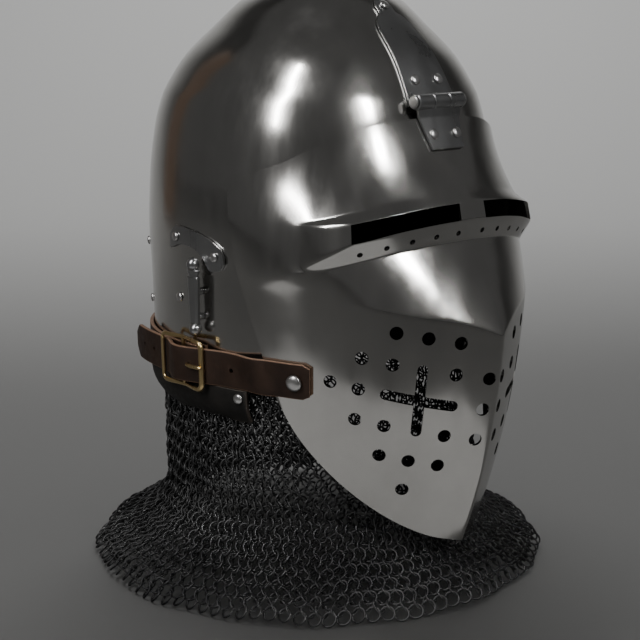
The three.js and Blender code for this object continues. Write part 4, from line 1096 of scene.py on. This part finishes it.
def build_buckle():
    """A rounded rectangle of brass wire with a middle bar, thicker at the front bar, and the
    prong that comes up through the strap and rests on that bar."""
    half_turn = (BUCKLE_BACK_ANGLE - BUCKLE_FRONT_ANGLE) / 2
    half, corner = BUCKLE_HEIGHT / 2, BUCKLE_CORNER
    wide = math.radians(half_turn) * SKULL_HALF_WIDTH
    outline = []
    for sx, sy, steps in corners(np.radians(np.linspace(0, 90, 8))):
        for t in steps:
            outline.append((sx * (wide - corner + corner * math.cos(t)),
                            sy * (half - corner + corner * math.sin(t))))
    outline = np.array(outline)
    closed = np.vstack([outline, outline[:1]])
    far = np.concatenate([[0], np.cumsum(np.linalg.norm(np.diff(closed, axis=0), axis=1))])
    where = np.linspace(0, far[-1], 140, endpoint=False)
    across, height = np.interp(where, far, closed[:, 0]), np.interp(where, far, closed[:, 1])
    turn = BUCKLE_MIDDLE_ANGLE + np.degrees(across / SKULL_HALF_WIDTH)
    high_rise = STRAP_THICKNESS * 2 + 3 * GAP + BUCKLE_WIRE / 2
    low_rise = STRAP_THICKNESS + 2 * GAP + BUCKLE_WIRE / 2
    rise = mix(low_rise, high_rise, smoothstep(np.abs(across) / wide, 0.0, 0.9))

    def at(turn, height, rise):
        angle = np.radians(turn)
        return polar(angle, plan_radius(angle) * skull_girth(height) + rise, height)

    path = at(turn, STRAP_HEIGHT + height, rise)
    out = polar(np.radians(turn), 1.0, 0.0)
    front_bar = smoothstep(-across / wide, 0.8, 0.98)
    wire = joined([
        tube(path, BUCKLE_WIRE / 2 * (1 + 0.3 * front_bar), out, closed=True, flat=0.85, sides=14),
        tube(at(np.full(9, BUCKLE_MIDDLE_ANGLE), STRAP_HEIGHT + np.linspace(-half, half, 9), low_rise),
             BUCKLE_WIRE / 2 * 0.95, np.repeat(polar(np.radians([BUCKLE_MIDDLE_ANGLE]), 1.0, 0.0), 9, 0)),
    ])
    dress(make("buckle_brass_frame", wire), brass, "brass", "buckle_frame")
    turns = np.linspace(BUCKLE_FRONT_ANGLE + 8, BUCKLE_FRONT_ANGLE - 1.2, 24)
    over_bar = high_rise + BUCKLE_WIRE / 2 * 1.3 + 1.1
    rise_at = curve([0, 0.3, 0.62, 1], [over_bar - 4.6, over_bar - 0.2, over_bar + 0.3, over_bar - 0.2])
    rises = rise_at(np.linspace(0, 1, 24))
    radius = PRONG_RADIUS * np.minimum(1, 0.55 + np.linspace(1, 0, 24) * 5)
    prong = tube(at(turns, STRAP_HEIGHT, rises), radius, polar(np.radians(turns), 1.0, 0.0))
    dress(make("buckle_prong", prong), brass, "brass", "buckle_pin")


def build_band():
    """The leather band under the strap: it laps the skull's rim and turns in below it."""
    section = band_section(0.05, 0.45)
    lean = curve([0, 0.5, 1], [0, 0.35, 1])

    def centre(angle, share, depth):
        up = 0.5 + 0.5 * share
        wave = 0.5 * np.sin(angle * 9 + 1) + 0.35 * np.sin(angle * 23 + 2)
        height = BAND_TOP - BAND_HEIGHT * (1 - up) + wave * (1 - up)
        seat = plan_radius(angle) * skull_girth(np.maximum(height, SKULL_RIM))
        below = (SKULL_RIM - height) / (SKULL_RIM - BAND_FOOT)
        radius = seat - BAND_TUCK * lean(below) + 2 * GAP + depth * BAND_THICKNESS
        return polar(angle, radius, height)

    turns = np.linspace(BAND_FRONT_ANGLE, 360 - BAND_FRONT_ANGLE, 240)
    strip = ribbon("band_leather_strip", turns, section, centre)
    dress(strip, band_leather, "black_leather", "aventail_band")


# Mail

mail_top = curve([0, 15, 30, 42, 49, 58, 66, 73, 180],
                 [0.96, 0.98, 1.03, 1.12, 1.24, 1.42, 1.4] + [1 + MAIL_TUCK / BAND_FOOT] * 2)
neck_girth = curve([0.34, 0.62, 0.94], [0.985, 1, 1.003])
skirt_spread = curve([0, 0.17, 0.41, 0.65, 1], [1, 0.84, 0.44, 0.16, 0])


def mail_point(angle, height):
    """The curtain's middle surface: the neck, spreading into a round skirt that undulates."""
    angle, height = np.broadcast_arrays(angle, height)
    neck = plan_radius(angle) * MAIL_NECK * neck_girth(height / BAND_FOOT)
    spread = skirt_spread(height / MAIL_FLARE)
    radius = mix(neck, MAIL_SKIRT_RADIUS, spread) - MAIL_INSET
    loose = spread ** 2
    radius = radius + loose * (1.1 * np.sin(9 * angle + 0.6) + 1.0 * np.sin(17 * angle + 2) - 1.2)
    hang = (1 - spread) * (0.7 * np.sin(13 * angle) + 0.6 * np.sin(29 * angle + height * 0.05))
    lift = loose * (1.4 + 0.9 * np.sin(7 * angle + 1.3) + 0.7 * np.sin(15 * angle + 0.4))
    return polar(angle, radius + hang, height + lift)


def build_mail():
    """Four-in-one mail: rings in level rows, each row shifted by half a ring and leaned the
    other way, so that each ring passes through two above it and two below it."""
    random = np.random.default_rng(RING_SEED)
    heights = np.linspace(0, BAND_FOOT * MAIL_REACH_SHARE, 500)
    rows = int((heights[-1] + 70) / RING_ROW_PITCH)
    centres, sides, ups, leans = [], [], [], []
    for row in range(rows):
        angle = (np.arange(RING_COLUMNS) + 0.5 * (row % 2)) * 2 * math.pi / RING_COLUMNS
        line = mail_point(angle[:, None], heights[None])
        run = np.concatenate([np.zeros((RING_COLUMNS, 1)),
                              np.cumsum(np.linalg.norm(np.diff(line, axis=1), axis=2), axis=1)], 1)
        far = RING_RADIUS + 0.4 + row * RING_ROW_PITCH
        height = np.array([np.interp(far, r, heights) for r in run])
        turn = np.abs(np.degrees(np.arctan2(np.sin(angle), np.cos(angle))))
        keep = (run[:, -1] > far) & (height < BAND_FOOT * mail_top(turn) - RING_RADIUS * 0.5)
        angle, height = angle[keep], height[keep]
        side = mail_point(angle + 0.02, height) - mail_point(angle - 0.02, height)
        up = mail_point(angle, height + 1) - mail_point(angle, height - 1)
        centres.append(mail_point(angle, height))
        sides.append(side / np.linalg.norm(side, axis=1, keepdims=True))
        ups.append(up / np.linalg.norm(up, axis=1, keepdims=True))
        leans.append(np.full(len(angle), RING_LEAN if row % 2 else -RING_LEAN))
    centre, side, up = np.concatenate(centres), np.concatenate(sides), np.concatenate(ups)
    out = np.cross(up, side)
    out /= np.linalg.norm(out, axis=1, keepdims=True)
    count = len(centre)
    centre = centre + random.normal(0, RING_SCATTER, (count, 3))
    lean = np.radians(np.concatenate(leans) + random.normal(0, RING_LEAN_SCATTER, count))[:, None]
    nod = np.radians(random.normal(0, RING_NOD_SCATTER, count))[:, None]
    ring_x = side * np.cos(lean) + out * np.sin(lean)
    ring_y = up * np.cos(nod) + out * np.sin(nod)
    ring_z = np.cross(ring_x, ring_y)
    big = np.linspace(0, 2 * math.pi, RING_SIDES, endpoint=False)[:, None]
    small = np.linspace(0, 2 * math.pi, WIRE_SIDES, endpoint=False)[None]
    reach = RING_RADIUS + RING_WIRE * np.cos(small)
    above = np.broadcast_to(RING_WIRE * np.sin(small), (RING_SIDES, WIRE_SIDES))
    local = np.stack([reach * np.cos(big), reach * np.sin(big), above], -1).reshape(-1, 3)
    points = (centre[:, None] + ring_x[:, None] * local[None, :, :1]
              + ring_y[:, None] * local[None, :, 1:2] + ring_z[:, None] * local[None, :, 2:])
    grid = np.arange(RING_SIDES * WIRE_SIDES).reshape(RING_SIDES, WIRE_SIDES)
    ahead = np.roll(grid, -1, 0)
    quads = np.stack([grid, ahead, np.roll(ahead, -1, 1), np.roll(grid, -1, 1)], -1).reshape(-1, 4)
    for i in range(MAIL_MESHES):
        part = points[count * i // MAIL_MESHES:count * (i + 1) // MAIL_MESHES]
        amount = len(part)
        faces = (quads[None] + (np.arange(amount) * len(local))[:, None, None]).reshape(-1, 4)
        data = bpy.data.meshes.new(f"mail_rows_{i}")
        data.vertices.add(amount * len(local))
        places = to_metres(part.reshape(-1, 3)).astype(np.float32)
        data.vertices.foreach_set("co", places.reshape(-1))
        data.loops.add(faces.size)
        data.loops.foreach_set("vertex_index", faces.reshape(-1).astype(np.int32))
        data.polygons.add(len(faces))
        data.polygons.foreach_set("loop_start", np.arange(0, faces.size, 4, dtype=np.int32))
        data.polygons.foreach_set("use_smooth", np.ones(len(faces), bool))
        data.update(calc_edges=True)
        data.validate()
        dress(add_object(f"mail_rows_{i}", data), ring_steel, "mail_steel", "aventail_mail")


build_skull()
build_visor()
build_hinge()
build_side_fittings()
build_rivets()
build_straps()
build_buckle()
build_band()
build_mail()


# Stage, light and camera, in metres from the head seat

RIGHT = Vector((0.7547, -0.6561, 0.0))
NEARER = Vector((-0.6561, -0.7547, 0.0))
UP = Vector((0, 0, 1))
FLOOR_NEAR = 4.0
FLOOR_BEND = 1.4
BEND_RADIUS = 1.2
WALL_TOP = 5.0
STAGE_HALF_WIDTH = 5.0
FLOOR_GAP = 0.0004


def seen(across, towards, high):
    """A place by its distance across the picture, towards the camera and up."""
    return RIGHT * across + NEARER * towards + UP * high


def build_stage():
    """A plain pale floor that curves up into a backdrop behind the helmet."""
    material, shader = new_material("stage_grey")
    shader.inputs["Base Color"].default_value = (0.42, 0.42, 0.415, 1)
    shader.inputs["Roughness"].default_value = 0.9
    turn = np.radians(np.linspace(0, 90, 24))
    run = [(-FLOOR_NEAR, 0.0)]
    run += [(FLOOR_BEND + BEND_RADIUS * math.sin(t), BEND_RADIUS * (1 - math.cos(t))) for t in turn]
    run += [(FLOOR_BEND + BEND_RADIUS, WALL_TOP)]
    floor = -SEAT * 0.001 - FLOOR_GAP
    points = [seen(across, -far, floor + high)
              for across in (-STAGE_HALF_WIDTH, STAGE_HALF_WIDTH) for far, high in run]
    n = len(run)
    faces = [(i, n + i, n + i + 1, i + 1) for i in range(n - 1)]
    data = bpy.data.meshes.new("floor_sweep")
    data.from_pydata(points, [], faces)
    for polygon in data.polygons:
        polygon.use_smooth = True
    data.materials.append(material)
    add_object("floor_sweep", data)


def build_card(name, places, glow):
    """A plain dim card beside the picture that only shows in the steel."""
    material, shader = new_material(name + "_paint")
    shader.inputs["Base Color"].default_value = (0.02, 0.015, 0.01, 1)
    shader.inputs["Emission Color"].default_value = (*glow, 1)
    shader.inputs["Emission Strength"].default_value = 1.0
    data = bpy.data.meshes.new(name)
    data.from_pydata(places, [], [(0, 1, 2, 3)])
    data.materials.append(material)
    obj = add_object(name, data)
    obj.visible_camera = False


def area_light(name, place, aim, size, power, spread, receivers=None):
    """A soft rectangular light at a place, turned to its aim, that spreads by some degrees,
    and that lights only its receivers where they are named."""
    data = bpy.data.lights.new(name, "AREA")
    data.shape = "RECTANGLE"
    data.size, data.size_y = size
    data.energy = power
    data.spread = math.radians(spread)
    obj = add_object(name, data)
    obj.location = place
    obj.rotation_mode = "QUATERNION"
    obj.rotation_quaternion = (Vector(aim) - Vector(place)).to_track_quat("-Z", "Y")
    if receivers:
        obj.light_linking.receiver_collection = receivers
        obj.visible_camera = False


lit_pieces = bpy.data.collections.new("lit_pieces")
for piece in list(bpy.context.scene.objects):
    if piece.type == "MESH":
        lit_pieces.objects.link(piece)
build_stage()
stage_pieces = bpy.data.collections.new("stage_pieces")
stage_pieces.objects.link(bpy.data.objects["floor_sweep"])
area_light("key", seen(-1.2, 1.3, 1.5), seen(0, 0, 0.0), (0.09, 1.8), 46, 180, lit_pieces)
area_light("second", seen(0.92, 1.25, 1.0), seen(0, 0, -0.06), (0.2, 0.7), 0.62, 24, lit_pieces)
area_light("low_card", seen(-0.06, 0.225, -0.33), seen(-0.06, 0.2, 0.3), (0.52, 0.2), 0.108, 180, lit_pieces)
area_light("wall_wash", seen(0.2, -1.1, 2.3), seen(0, -2.5, 0.9), (2.6, 0.4), 37, 120)
area_light("floor_wash", seen(0, -1.2, 1.66), seen(0, -1.2, -0.338), (2.5, 0.8), 13, 180, stage_pieces)
card_corners = [seen(-1.62, -0.66, -0.3), seen(-1.62, -0.66, 1.4),
                seen(-1.42, -1.05, 1.4), seen(-1.42, -1.05, -0.3)]
build_card("brown_card", card_corners, (0.1, 0.07, 0.052))
world = bpy.data.worlds.new("room")
bpy.context.scene.world = world
world.use_nodes = True
background = world.node_tree.nodes["Background"]
background.inputs["Color"].default_value = (0.5, 0.5, 0.5, 1)
background.inputs["Strength"].default_value = 0.16

camera_data = bpy.data.cameras.new("camera")
camera_data.sensor_width = 36
camera_data.lens = 81.56
camera_data.clip_start = 0.05
camera_data.clip_end = 30
camera = add_object("camera", camera_data)
camera.matrix_world = Matrix((
    (0.7547, 0.1398, -0.6410, -0.617915),
    (-0.6561, 0.1608, -0.7374, -0.713458),
    (0.0, 0.9770, 0.2130, 0.020315),
    (0, 0, 0, 1),
))
bpy.context.scene.camera = camera
